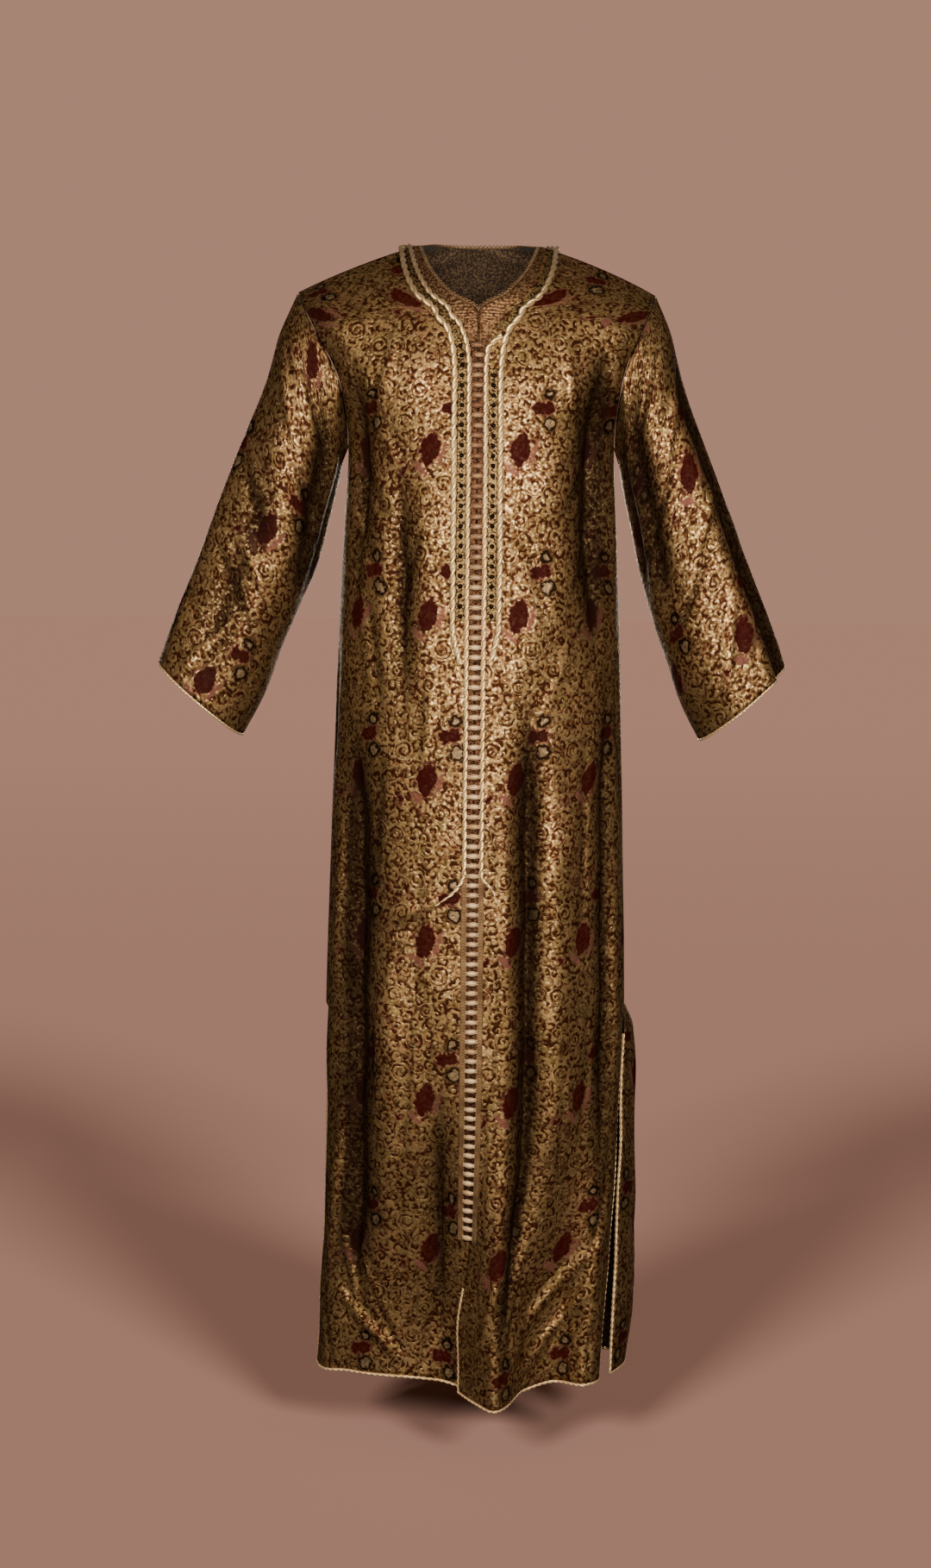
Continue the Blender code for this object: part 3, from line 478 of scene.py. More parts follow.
def fold_rows(grid, panel, folds, creases, facing, phase):
    """Folds first, straight out from the wearer, then creases, straight out from the cloth."""
    across = row_lengths(grid)
    levels = LEVELS[:, None]
    from_seam = across[:, -1:] - across
    calm = np.where(levels > SLIT_TOP, smooth_step(0, SEAM_CALM, from_seam), 1.0)
    push = sum(fold_push(levels, across, fold) for fold in folds) * calm
    grid = grid + unit(grid * np.array([FOLD_SIDEWAYS, 1.0, 0.0])) * push[:, :, None]
    # Painted shade: darker colour with the depth of the folds and near the side seam, then more in
    # the troughs of the creases; stored for the brocade
    painted_shade = push / -DEEP_FOLD + SIDE_SHADE[panel] * smooth_step(SIDE_REACH, 0, from_seam)
    push = sum(crease_push(levels, across, crease) for crease in creases)
    painted_shades[panel] = np.clip(painted_shade - push / DEEP_CREASE, 0, 1)
    push = (push + ripple(levels, across, phase)) * calm
    push = push * smooth_step(0, TOP_CALM, SHOULDER - levels)
    return grid + grid_normals(grid, facing) * push[:, :, None]


# %% [markdown]
# ## Fronts and back
# The hem of each front swings in towards the wearer in the middle and out at the sides, and the
# left front laps over the right one below the last knot. The back is two mirrored halves with
# folds of their own, joined at the centre line so that it is one piece of cloth.

# %% Front and back grids
HEM_SWING = {
    # share of the row from the opening, y shift, z shift
    "front_right": (
        (0.00, 0.050, -0.002),
        (0.14, 0.062, 0.005),
        (0.35, 0.048, 0.011),
        (0.60, 0.034, 0.011),
        (0.85, 0.006, 0.006),
        (1.00, 0.000, 0.004),
    ),
    "front_left": (
        (0.00, 0.050, -0.002),
        (0.17, -0.008, -0.007),
        (0.34, 0.040, 0.000),
        (0.52, 0.050, 0.005),
        (0.80, 0.004, 0.008),
        (1.00, 0.000, 0.006),
    ),
}
SWING_TOP = -0.900
SWING_GROWTH = 1.2
OPENING_SHIFT = {"front_left": (-0.010, -0.005, 0.0), "front_right": (-0.004, 0.011, 0.0)}
OPENING_SHIFT_REACH = 0.050
OPENING_SHIFT_TOP = LAST_BUTTON - 0.005
FRONT_PHASE, BACK_PHASE = 0.4, 2.0
CENTRE_COLUMNS = 3.0
LEVEL_SLACK = 1e-4


def part_shoulders(grid, way):
    """Leaves room between front and back where they meet at the shoulder seam."""
    near_top = smooth_step(SHOULDER - SHOULDER_BLEND, SHOULDER, LEVELS)
    grid[:, :, 1] += way * SHOULDER_GAP / 2 * near_top[:, None]
    return grid


def front_grid(panel, side):
    shares = np.linspace(0, 1, FRONT_COLUMNS)
    grid = section_rows(FRONT_SECTIONS, side, SLIT_EDGES[panel], FRONT_COLUMNS)
    grid[:, :, 0] += lean(LEVELS[:, None], shares)
    grow = smooth_step(SWING_TOP, HEM, LEVELS) ** SWING_GROWTH
    swing = np.array(HEM_SWING[panel])
    grid[:, :, 1:] += grow[:, None, None] * through(swing[:, 0], swing[:, 1:], shares)
    grid = fold_rows(grid, panel, FRONT_FOLDS[panel], CREASES[panel], side, FRONT_PHASE + side)
    opened = smooth_step(OPENING_SHIFT_TOP, FRONT_SLIT_OPEN, LEVELS)[:, None]
    reach = np.exp(-((row_lengths(grid) / OPENING_SHIFT_REACH) ** 2))
    grid += (opened * reach)[:, :, None] * np.array(OPENING_SHIFT[panel])
    grid[:, :, 0] += side * SEAM_GAP / 2 * (1 - shares)
    grid[:, :, 1] -= SEAM_GAP / 2 * shares
    return part_shoulders(grid, -1)


def back_half_grid(panel, side):
    shares = np.linspace(0, 1, BACK_COLUMNS)
    grid = section_rows(BACK_SECTIONS, side, SLIT_EDGES[panel], BACK_COLUMNS)
    high = smooth_step(UNDERARM, NAPE_LEVEL, LEVELS)[:, None]
    grid[:, :, 0] += lean(LEVELS[:, None], shares) * high
    grid = fold_rows(grid, panel, BACK_FOLDS[panel], CREASES[panel], -side, BACK_PHASE + side)
    grid[:, :, 1] += SEAM_GAP / 2 * shares
    return part_shoulders(grid, 1)


fronts = {side: front_grid(f"front_{word}", side) for side, word in SIDES.items()}
backs = {side: back_half_grid(f"back_{word}", side) for side, word in SIDES.items()}
JOINED_ROWS = int(np.searchsorted(LEVELS, NAPE_LEVEL + LEVEL_SLACK))
centre_back = (backs[-1][:JOINED_ROWS, :1] + backs[1][:JOINED_ROWS, :1]) / 2
for half in backs.values():
    fade = np.exp(-np.arange(BACK_COLUMNS) / CENTRE_COLUMNS)[None, :, None]
    half[:JOINED_ROWS] += (centre_back - half[:JOINED_ROWS, :1]) * fade
hem_wide = [round(float(row_lengths(grid)[0, -1]), 3) for grid in fronts.values()]
print("front rows", hem_wide, "m at the hem")

# %% [markdown]
# ## Cloth as a thin shell
# A panel is one sheet of points with an even wall round it, which Solidify gives: the outer face
# keeps the brocade, and the inner face and the cut edges take the dull reverse of the weave. The
# sheet also carries the cloth's own measure, in metres across and along, so that a woven repeat
# keeps its true size however the cloth is folded.

# %% Make a sheet of cloth
PATTERN_LEVEL = -0.243
GARMENT = bpy.data.collections.new("kaftan_looks")
bpy.context.scene.collection.children.link(GARMENT)
pieces = {}


def keep(name, item, slot, *nodes):
    """Every piece rides on the one body and stands for its solids; its slot is not used."""
    GARMENT.objects.link(item)
    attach(item, "root")
    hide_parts(*nodes)
    pieces[name] = item
    return item


def mesh_of(name, points, faces, smooth=True):
    mesh = bpy.data.meshes.new(name)
    mesh.from_pydata(np.asarray(points).reshape(-1, 3).tolist(), [], faces)
    if smooth:
        mesh.shade_smooth()
    return mesh


def quads(rows, columns, facing, closed_round=False):
    faces = []
    for i in range(rows - 1):
        for j in range(columns if closed_round else columns - 1):
            a, b = i * columns + j, i * columns + (j + 1) % columns
            quad = [a, b, b + columns, a + columns]
            faces.append(quad if facing > 0 else quad[::-1])
    return faces


def measure(mesh, places_of):
    """Stores how far across and along the cloth each corner lies, in metres."""
    layer = mesh.uv_layers.new(name="cut")
    corners = np.empty(len(mesh.loops), np.int64)
    mesh.loops.foreach_get("vertex_index", corners)
    layer.data.foreach_set("uv", places_of(corners).astype(np.float32).ravel())


def along_rows(grid):
    """Distance up the cloth at each row, from the level where the woven repeat starts."""
    steps = np.linalg.norm(np.diff(grid, axis=0), axis=2).mean(axis=1)
    along = np.r_[0, np.cumsum(steps)]
    return along - np.interp(PATTERN_LEVEL, LEVELS, along)


def add_wall(item, thickness):
    wall = item.modifiers.new("wall", "SOLIDIFY")
    wall.thickness = thickness
    wall.offset = 0.0
    wall.use_even_offset = True
    wall.use_rim = True
    wall.material_offset = 1
    wall.material_offset_rim = 1


def mark_painted_shade(mesh, painted_shade):
    """Stores the share of painted shade at each point: darker colour down in the folds and creases.
    """
    layer = mesh.attributes.new("painted_shade", "FLOAT", "POINT")
    layer.data.foreach_set("value", painted_shade.astype(np.float32).ravel())


def cloth_piece(name, node, points, faces, across, along, painted_shade):
    mesh = mesh_of(name, points, faces)
    mark_painted_shade(mesh, painted_shade)
    along = np.broadcast_to(along[:, None], across.shape)
    places = np.stack([across, along], axis=-1).reshape(-1, 2)
    measure(mesh, lambda corners: places[corners])
    item = keep(name, bpy.data.objects.new(name, mesh), "gold_brocade", node)
    add_wall(item, CLOTH_THICK)
    print(name, len(mesh.polygons), "faces,", f"{1000 * CLOTH_THICK:.1f} mm thick")
    return item


# %% The two fronts and the back
for side, word in SIDES.items():
    grid = fronts[side]
    faces = quads(*grid.shape[:2], side)
    cloth_piece(f"front_{word}_cloth", f"front_{word}", grid, faces, side * row_lengths(grid),
                along_rows(grid), painted_shades[f"front_{word}"])


def back_faces():
    """Both halves, the left one using the right one's centre points up to the nape."""
    rows = len(LEVELS)
    right = quads(rows, BACK_COLUMNS, 1)
    shift = rows * BACK_COLUMNS
    centre = {shift + i * BACK_COLUMNS: i * BACK_COLUMNS for i in range(JOINED_ROWS)}
    left = quads(rows, BACK_COLUMNS, -1)
    return right + [[centre.get(shift + k, shift + k) for k in face] for face in left]


back_points = np.concatenate([backs[-1], backs[1]])
back_across = np.concatenate([-row_lengths(backs[-1]), row_lengths(backs[1])])
back_along = np.tile((along_rows(backs[-1]) + along_rows(backs[1])) / 2, 2)
back_painted_shade = np.concatenate([painted_shades["back_right"], painted_shades["back_left"]])
back = cloth_piece("back_cloth", "back", back_points, back_faces(), back_across, back_along,
                   back_painted_shade)
work = bmesh.new()
work.from_mesh(back.data)
spare = [point for point in work.verts if not point.link_faces]
bmesh.ops.delete(work, geom=spare, context="VERTS")
work.to_mesh(back.data)
work.free()

# %% [markdown]
# ## Sleeves
# A sleeve starts on the armhole's own points, so that it fits the panels all round, and passes
# through a few slanted rings to the cuff. It bags a little over the elbow, has its deepest crease
# on the inner side and a few short ones across, and stays open like a tube.

# %% Sleeve tables
SLEEVE_RINGS = (
    # outer x, z, inner x, z, half depth, middle y
    (0.2330, -0.104, 0.1680, -0.266, 0.066, 0.003),
    (0.2480, -0.158, 0.1735, -0.292, 0.067, 0.003),
    (0.2700, -0.216, 0.1820, -0.330, 0.066, 0.002),
    (0.2930, -0.274, 0.1925, -0.376, 0.064, 0.000),
    (0.3150, -0.332, 0.2115, -0.428, 0.063, -0.002),
    (0.3370, -0.390, 0.2310, -0.478, 0.064, -0.003),
    (0.3600, -0.446, 0.2490, -0.530, 0.066, -0.004),
    (0.3770, -0.494, 0.2760, -0.582, 0.067, -0.004),
)
SLEEVE_LEAN = -0.008
SLEEVE_LEAN_FROM, SLEEVE_LEAN_FULL = 0.17, 0.24
SLEEVE_STEPS = 96
SLEEVE_ROUND = 0.40
# Painted shade laid over the whole sleeve, before its troughs add more
SLEEVE_SHADE = 0.22
SLEEVE_WEAVE = {"sleeve_right": (-0.050, 0.029), "sleeve_left": (0.020, -0.021)}
SLEEVE_FOLD_LEAD = 0.05
SLEEVE_FOLD_FADE = 0.15
SLEEVE_RIPPLE, SLEEVE_CALM = 0.7, 0.08
ARMHOLE_ROWS = ROW_BANDS[2][2], ROW_BANDS[3][2]
COLUMNS_INSIDE = 8
EDGE_TURN, FACE_TURN = 40, 100
SLEEVE_FOLDS = {
    # turn a, turn b (degrees from the outer line to the front), share a, share b, width, depth
    "sleeve_right": (
        (122, 150, 0.10, 0.60, 16, -0.010),
        (20, 38, 0.25, 1.00, 14, 0.004),
        (70, 88, 0.35, 0.95, 18, -0.005),
        (168, 172, 0.05, 0.60, 12, -0.008),
        (250, 230, 0.10, 0.90, 20, -0.008),
    ),
    "sleeve_left": (
        (120, 132, 0.08, 0.62, 15, -0.010),
        (156, 162, 0.05, 0.58, 11, -0.009),
        (58, 54, 0.22, 1.00, 13, 0.005),
        (24, 28, 0.16, 1.00, 17, -0.011),
        (246, 236, 0.10, 0.90, 20, -0.008),
    ),
}
SLEEVE_CREASES = {
    # turn a, share a, turn b, share b, half width, depth
    "sleeve_right": (
        (60, 0.10, 150, 0.22, 0.0080, -0.0042),
        (30, 0.16, 110, 0.30, 0.0085, 0.0036),
        (95, 0.30, 170, 0.46, 0.0080, -0.0042),
        (10, 0.36, 90, 0.52, 0.0090, -0.0031),
        (60, 0.56, 140, 0.68, 0.0070, 0.0042),
        (40, 0.62, 125, 0.76, 0.0065, -0.0045),
        (100, 0.72, 60, 0.98, 0.0070, 0.0036),
        (190, 0.20, 290, 0.34, 0.0085, -0.0042),
        (210, 0.42, 300, 0.56, 0.0080, 0.0039),
        (200, 0.62, 320, 0.74, 0.0080, -0.0042),
        (250, 0.70, 280, 0.98, 0.0080, 0.0036),
        (330, 0.20, 340, 0.62, 0.0090, -0.0031),
    ),
    "sleeve_left": (
        (50, 0.10, 145, 0.20, 0.0080, -0.0042),
        (20, 0.18, 105, 0.34, 0.0085, 0.0034),
        (80, 0.34, 160, 0.50, 0.0080, -0.0045),
        (30, 0.44, 100, 0.60, 0.0080, 0.0034),
        (70, 0.60, 150, 0.74, 0.0070, -0.0042),
        (60, 0.70, 110, 0.96, 0.0070, 0.0039),
        (20, 0.74, 70, 0.92, 0.0065, -0.0036),
        (195, 0.16, 285, 0.30, 0.0085, -0.0042),
        (220, 0.36, 310, 0.50, 0.0080, 0.0039),
        (205, 0.56, 300, 0.72, 0.0080, -0.0045),
        (270, 0.72, 250, 0.98, 0.0080, 0.0039),
        (335, 0.30, 345, 0.70, 0.0090, 0.0031),
    ),
}


# %% Draw a sleeve
def armhole_edge(grid, normals):
    """Armhole points of a panel, from the shoulder down, with the way out of the panel there."""
    rows = slice(int(np.argmin(abs(LEVELS - UNDERARM))), None)
    points = grid[rows, -1]
    normal = normals[rows, -1]
    tangent = unit(np.gradient(points, axis=0))
    out = unit(np.cross(normal, tangent))
    inside = grid[rows, -COLUMNS_INSIDE] - points
    flip = np.where((out * inside).sum(axis=1) > 0, -1.0, 1.0)
    return points[::-1], normal[::-1], (out * flip[:, None])[::-1]


def armhole_turns():
    """Where each armhole point stands round the sleeve, in turns from the outer line."""
    low_rows, high_rows = ARMHOLE_ROWS
    low_part, high_part = ARMHOLE_PARTS
    low = high_part + np.linspace(0, low_part, low_rows + 1)
    down = np.r_[np.linspace(0, high_part, high_rows + 1), low[1:]]
    return np.r_[down / 2, 1 - down[::-1][1:-1] / 2]


def sleeve_key_rings(side, turns):
    angles = turns * 2 * math.pi
    rings = []
    for outer_x, outer_z, inner_x, inner_z, half_depth, middle_y in SLEEVE_RINGS:
        inner_lean = SLEEVE_LEAN * smooth_step(SLEEVE_LEAN_FROM, SLEEVE_LEAN_FULL, inner_x)
        outer = np.array([outer_x + side * SLEEVE_LEAN, middle_y, outer_z])
        inner = np.array([inner_x + side * inner_lean, middle_y, inner_z])
        ring = (outer + inner) / 2 + np.cos(angles)[:, None] * (outer - inner) / 2
        ring[:, 1] -= np.sin(angles) * half_depth
        ring[:, 0] *= side
        rings.append(ring)
    return rings


def from_line(degrees, middle):
    """Degrees round the sleeve from a line, the short way."""
    return (degrees - middle + 180) % 360 - 180


def sleeve_crease(degrees, shares, long, crease):
    turn_a, share_a, turn_b, share_b, half_width, depth = crease
    scale = SLEEVE_ROUND / 360
    rise, run = (share_b - share_a) * long, (turn_b - turn_a) * scale
    up = (shares - share_a) * long
    over = from_line(degrees, turn_a) * scale
    place = np.clip((up * rise + over * run) / (rise**2 + run**2), 0, 1)
    away = np.hypot(up - place * rise, over - place * run)
    return crease_shape(depth, place, (away / half_width) ** 2)


def sleeve_grid(name, side, front_edge, back_edge):
    """Rings from the armhole to the cuff. The first follows the panels' own armhole points."""
    loop, normal, out = (
        np.concatenate([first, second[::-1][1:-1]]) for first, second in zip(front_edge, back_edge)
    )
    turns = armhole_turns()
    keys = sleeve_key_rings(side, turns)
    toward = unit(keys[0] - loop)
    bend = np.degrees(np.arccos(np.clip((toward * out).sum(axis=1), -1, 1)))
    folded_back = smooth_step(EDGE_TURN, FACE_TURN, bend)[:, None]
    corner = CLOTH_THICK * np.sin(np.radians(bend))[:, None]
    start = loop + normal * (CLOTH_THICK + 2 * SEAM_GAP) * folded_back
    start = start + toward * (2 * SEAM_GAP + corner * (1 - folded_back))
    rings = np.array([start, *keys])
    knots = np.r_[0, np.cumsum(np.linalg.norm(np.diff(rings, axis=0), axis=2).mean(axis=1))]
    long = knots[-1]
    shares = np.linspace(0, 1, SLEEVE_STEPS + 1)[:, None]
    grid = through(knots / long, rings, shares[:, 0])
    degrees = turns[None, :] * 360
    push = np.zeros(grid.shape[:2])
    for turn_a, turn_b, share_a, share_b, width, depth in SLEEVE_FOLDS[name]:
        down = np.clip((shares - share_a) / (share_b - share_a), 0, 1)
        middle = turn_a + (turn_b - turn_a) * down
        fade = smooth_step(share_a - SLEEVE_FOLD_LEAD, share_a + SLEEVE_FOLD_FADE, shares)
        if share_b < 1:
            end = share_b + SLEEVE_FOLD_LEAD, share_b - SLEEVE_FOLD_FADE
            fade = fade * smooth_step(*end, shares)
        push += depth * fade * np.exp(-((from_line(degrees, middle) / width) ** 2))
    for crease in SLEEVE_CREASES[name]:
        push += sleeve_crease(degrees, shares, long, crease)
    # Painted shade: some over the whole sleeve, more in the troughs of its folds and creases, less
    # on their ridges
    painted_shades[name] = np.clip(SLEEVE_SHADE - push / DEEP_CREASE, 0, 1)
    uneven = SLEEVE_RIPPLE * ripple(-shares * long, degrees * SLEEVE_ROUND / 360, side)
    push += uneven * smooth_step(0, SLEEVE_CALM, shares)
    grid += unit(grid - grid.mean(axis=1, keepdims=True)) * push[:, :, None]
    return grid, long


# %% The two sleeves
def sleeve_piece(name, grid, long, side):
    """The seam column is doubled in the measure only, so that the repeat doesn't wrap back."""
    rings, around = grid.shape[:2]
    mesh = mesh_of(f"{name}_cloth", grid, quads(rings, around, side, closed_round=True))
    turns = armhole_turns()
    shift, lift = SLEEVE_WEAVE[name]

    def places_of(corners):
        turn = turns[corners % around].reshape(-1, 4)
        turn = np.where((turn == 0) & (turn.max(axis=1, keepdims=True) > 0.5), 1.0, turn)
        along = -(corners // around) / SLEEVE_STEPS * long
        return np.stack([shift - turn.ravel() * SLEEVE_ROUND * side, lift + along], axis=-1)

    measure(mesh, places_of)
    mark_painted_shade(mesh, painted_shades[name])
    item = keep(f"{name}_cloth", bpy.data.objects.new(f"{name}_cloth", mesh), "gold_brocade", name)
    add_wall(item, CLOTH_THICK)
    print(name, f"{1000 * long:.0f} mm long from armhole to cuff")


sleeves = {}
for side, word in SIDES.items():
    front_edge = armhole_edge(fronts[side], grid_normals(fronts[side], side))
    back_edge = armhole_edge(backs[side], grid_normals(backs[side], -side))
    sleeves[side], long = sleeve_grid(f"sleeve_{word}", side, front_edge, back_edge)
    sleeve_piece(f"sleeve_{word}", sleeves[side], long, side)

# %% [markdown]
# ## Numbers that differ over the cloth
# A woven pattern is arithmetic on the cloth's own measure. Blender does arithmetic in a material
# with Math nodes, and a page of linked nodes is hard to read, so a small class lets ordinary Python
# sums lay the nodes: adding two of these numbers adds an Add node, and so on.

# %% Sums in a material
class Amount:
    """A number that differs from place to place in a material."""

    def __init__(self, tree, socket):
        self.tree, self.socket = tree, socket

    def math(self, operation, *others):
        node = self.tree.nodes.new("ShaderNodeMath")
        node.operation = operation
        for place, value in zip(node.inputs, (self, *others)):
            if isinstance(value, Amount):
                self.tree.links.new(value.socket, place)
            else:
                place.default_value = value
        return Amount(self.tree, node.outputs[0])

    def __add__(self, other):
        return self.math("ADD", other)

    def __sub__(self, other):
        return self.math("SUBTRACT", other)

    def __mul__(self, other):
        return self.math("MULTIPLY", other)

    def __truediv__(self, other):
        return self.math("DIVIDE", other)

    def __neg__(self):
        return self.math("MULTIPLY", -1.0)

    def size(self):
        return self.math("ABSOLUTE")

    def between(self, low, high):
        """Rises softly from 0 at low to 1 at high, or falls where high is the lower one."""
        node = self.tree.nodes.new("ShaderNodeMapRange")
        node.interpolation_type = "SMOOTHSTEP"
        self.tree.links.new(self.socket, node.inputs["Value"])
        node.inputs["From Min"].default_value = low
        node.inputs["From Max"].default_value = high
        return Amount(self.tree, node.outputs["Result"])


def length_of(x, y):
    return (x * x + y * y).math("SQRT")


def swap(tree, share, first, second):
    """One colour changing to another as the share goes from 0 to 1."""
    node = tree.nodes.new("ShaderNodeMix")
    node.data_type = "RGBA"
    tree.links.new(share.socket, node.inputs["Factor"])
    for name, value in (("A", first), ("B", second)):
        place = [item for item in node.inputs if item.name == name and item.type == "RGBA"][0]
        if isinstance(value, tuple):
            place.default_value = (*value, 1.0)
        else:
            tree.links.new(value, place)
    return [item for item in node.outputs if item.type == "RGBA"][0]


def new_material(name, roughness, metallic, sheen=0.0):
    """A Principled material; the values that stay the same all over are set on its sockets."""
    material = bpy.data.materials.new(name)
    material.use_nodes = True
    shader = material.node_tree.nodes["Principled BSDF"]
    shader.inputs["Roughness"].default_value = roughness
    shader.inputs["Metallic"].default_value = metallic
    shader.inputs["Sheen Weight"].default_value = sheen
    shader.inputs["Specular IOR Level"].default_value = 0.15
    return material, material.node_tree, shader


def place_at(tree):
    return tree.nodes.new("ShaderNodeTexCoord").outputs["Object"]


def noise(tree, vector, scale, detail):
    node = tree.nodes.new("ShaderNodeTexNoise")
    node.inputs["Scale"].default_value = scale
    node.inputs["Detail"].default_value = detail
    tree.links.new(vector, node.inputs["Vector"])
    return node


def mottled(tree, vector, scale, detail):
    return Amount(tree, noise(tree, vector, scale, detail).outputs[0])


def split(tree, kind, vector):
    """The three parts of a place or a colour, each as a number."""
    node = tree.nodes.new(kind)
    tree.links.new(vector, node.inputs[0])
    return [Amount(tree, part) for part in node.outputs]


def raise_surface(tree, shader, height, distance):
    bump = tree.nodes.new("ShaderNodeBump")
    bump.inputs["Distance"].default_value = distance
    tree.links.new(height.socket, bump.inputs["Height"])
    tree.links.new(bump.outputs[0], shader.inputs["Normal"])


# %% [markdown]
# ## The brocade
# The cloth is woven from flat metal thread on a near-black ground: small curls all over, larger
# double curls, and in every repeat one dark red leaf with a pink edge and a pair of rings with a
# red crescent between them. The curls come from a Voronoi texture, whose cells each give a centre
# to wind a spiral about. The leaf, rings and large curls are charted from plain curves.
# Metal thread looks dark wherever it doesn't face the light. On top of that the colour is painted
# darker down in the folds and creases, along the side seams and a little over the sleeves: painted
# shade, from a number that the cloth pieces carry at each point, which also makes the thread
# rougher.

# %% Chart of the repeat, in metres from the middle of the leaf
REPEAT_WIDE, REPEAT_LONG = 0.105, 0.191
LEAF_FROM_OPENING = 0.055
LARGE_CURLS = (
    # across, along, radius, turns, way round, start
    (0.0165, -0.0400, 0.0135, 2.4, 1.0, 0.10),
    (0.0440, -0.0640, 0.0125, 2.2, -1.0, 0.45),
    (-0.0300, 0.0330, 0.0120, 2.1, -1.0, 0.75),
    (-0.0390, -0.0660, 0.0110, 2.0, 1.0, 0.30),
    (-0.0120, 0.0720, 0.0115, 2.1, 1.0, 0.60),
    (0.0010, -0.0820, 0.0095, 1.8, -1.0, 0.20),
)
PETALS = (
    # across, along, half length, half width, turn (degrees), 0 dark red or 1 pink
    (0.0000, 0.0000, 0.0205, 0.0115, -12, 0),
    (-0.0120, -0.0225, 0.0125, 0.0036, 48, 1),
    (0.0150, -0.0040, 0.0180, 0.0028, -18, 1),
    (0.0270, 0.0510, 0.0055, 0.0130, 8, 0),
    (-0.0330, -0.0240, 0.0060, 0.0026, -35, 0),
)
RINGS = (
    # across, along, radius of the outer thread, of the dark ring, of the pale heart
    (0.0330, 0.0680, 0.0100, 0.0078, 0.0034),
    (0.0350, 0.0320, 0.0112, 0.0090, 0.0054),
)
RING_RAGGED = 0.0110
PETAL_STEPPED, PETAL_RAGGED = 0.0022, 0.0050
PETAL_EDGE, HALO_EDGE = (0.0010, -0.0006), (0.0034, 0.0016)
SMALL_CELL = 0.0128
SMALL_TURNS = 1.75
SMALL_SCATTER = 0.85
WANDER_SCALE, WANDER = 110.0, 0.0030
UNEVEN = {
    # how fine the mottling is, detail
    "worn": (38.0, 3.0),
    "broad": (13.0, 2.0),
    "patch": (125.0, 2.0),
    "glint": (300.0, 1.0),
    "grain": (165.0, 1.5),
}

GOLD_PALE = (0.34, 0.211, 0.087)
GOLD_DEEP = (0.112, 0.0612, 0.0258)
GOLD_OLIVE = (0.224, 0.163, 0.0544)
GOLD_GLINT = (0.68, 0.49, 0.245)
GROUND_BROWN = (0.139, 0.0558, 0.0218)
GROUND_DARK = (0.0394, 0.0122, 0.0054)
GROUND_RED = (0.129, 0.0354, 0.019)
# Near-black: the ink of the dark rings, and the colour of the painted shade in the folds
DARK_INK_AND_SHADE = (0.0102, 0.0037, 0.0024)
LEAF_RED = (0.0286, 0.0012, 0.0011)
PETAL_PINK = (0.184, 0.0714, 0.051)
HEART_CREAM = (0.313, 0.211, 0.116)
REVERSE_DARK, REVERSE_LIGHT = (0.0204, 0.0109, 0.0075), (0.102, 0.0612, 0.0306)
RING_INKS = (
    # how far a soft edge runs outside and inside the radius, strength, colour
    (0.0010, 0.0006, 0.60, GOLD_DEEP),
    (0.0012, 0.0010, 0.95, DARK_INK_AND_SHADE),
    (0.0012, 0.0012, 0.80, HEART_CREAM),
)
CURL_EDGE, RIM_AT, RIM_EDGE = (1.04, 1.0), 0.93, (0.10, 0.05)
THREAD_EDGE, SHADE_EDGE = (1.04, 0.02), (1.05, 0.60)
BRIGHT_EDGE, OLIVE_EDGE = (0.62, 1.12), (0.50, 0.64)
GLINT_EDGE, RED_EDGE = (0.54, 0.66), (0.45, 0.62)
METAL_PINK, METAL_RED = 0.45, 0.15
PAINTED_SHADE_SHARE, DULL_ROUGH = 0.85, 0.15
BROCADE_RELIEF, REVERSE_RELIEF, SILK_RELIEF = 0.00028, 0.0004, 0.00025


def wrapped(amount, repeat):
    """The distance from the nearest middle of a repeat."""
    return ((amount / repeat + 0.5).math("FRACT") - 0.5) * repeat


def spiral(x, y, cell, turns, hand, start):
    """0 in the middle of a spiral's thread and 1 halfway between its turns."""
    away = length_of(x, y) / cell
    angle = y.math("ARCTAN2", x) * (1 / (2 * math.pi))
    turn = (away * turns + angle * hand + start).math("FRACT")
    return ((turn - 0.5) * 2.0).size(), away


def small_curls(tree, u, v):
    spot = tree.nodes.new("ShaderNodeCombineXYZ")
    tree.links.new((u / SMALL_CELL).socket, spot.inputs["X"])
    tree.links.new((v / SMALL_CELL).socket, spot.inputs["Y"])
    cells = tree.nodes.new("ShaderNodeTexVoronoi")
    cells.voronoi_dimensions = "2D"
    cells.inputs["Scale"].default_value = 1.0
    cells.inputs["Randomness"].default_value = SMALL_SCATTER
    tree.links.new(spot.outputs[0], cells.inputs["Vector"])
    centre_x, centre_y, _ = split(tree, "ShaderNodeSeparateXYZ", cells.outputs["Position"])
    first, second, third = split(tree, "ShaderNodeSeparateColor", cells.outputs["Color"])
    hand = first.math("GREATER_THAN", 0.5) * 2.0 - 1.0
    x, y = u / SMALL_CELL - centre_x, v / SMALL_CELL - centre_y
    wave, _ = spiral(x, y, 1.0, SMALL_TURNS, hand, second)
    return wave, third


def petal(x, y, half_long, half_wide, turn):
    """Metres outside a pointed petal, and below zero inside it."""
    cos, sin = math.cos(math.radians(turn)), math.sin(math.radians(turn))
    side = x * cos + y * sin
    up = y * cos - x * sin
    radius = (half_long**2 + half_wide**2) / (2 * half_wide)
    return length_of(side.size() + (radius - half_wide), up) - radius


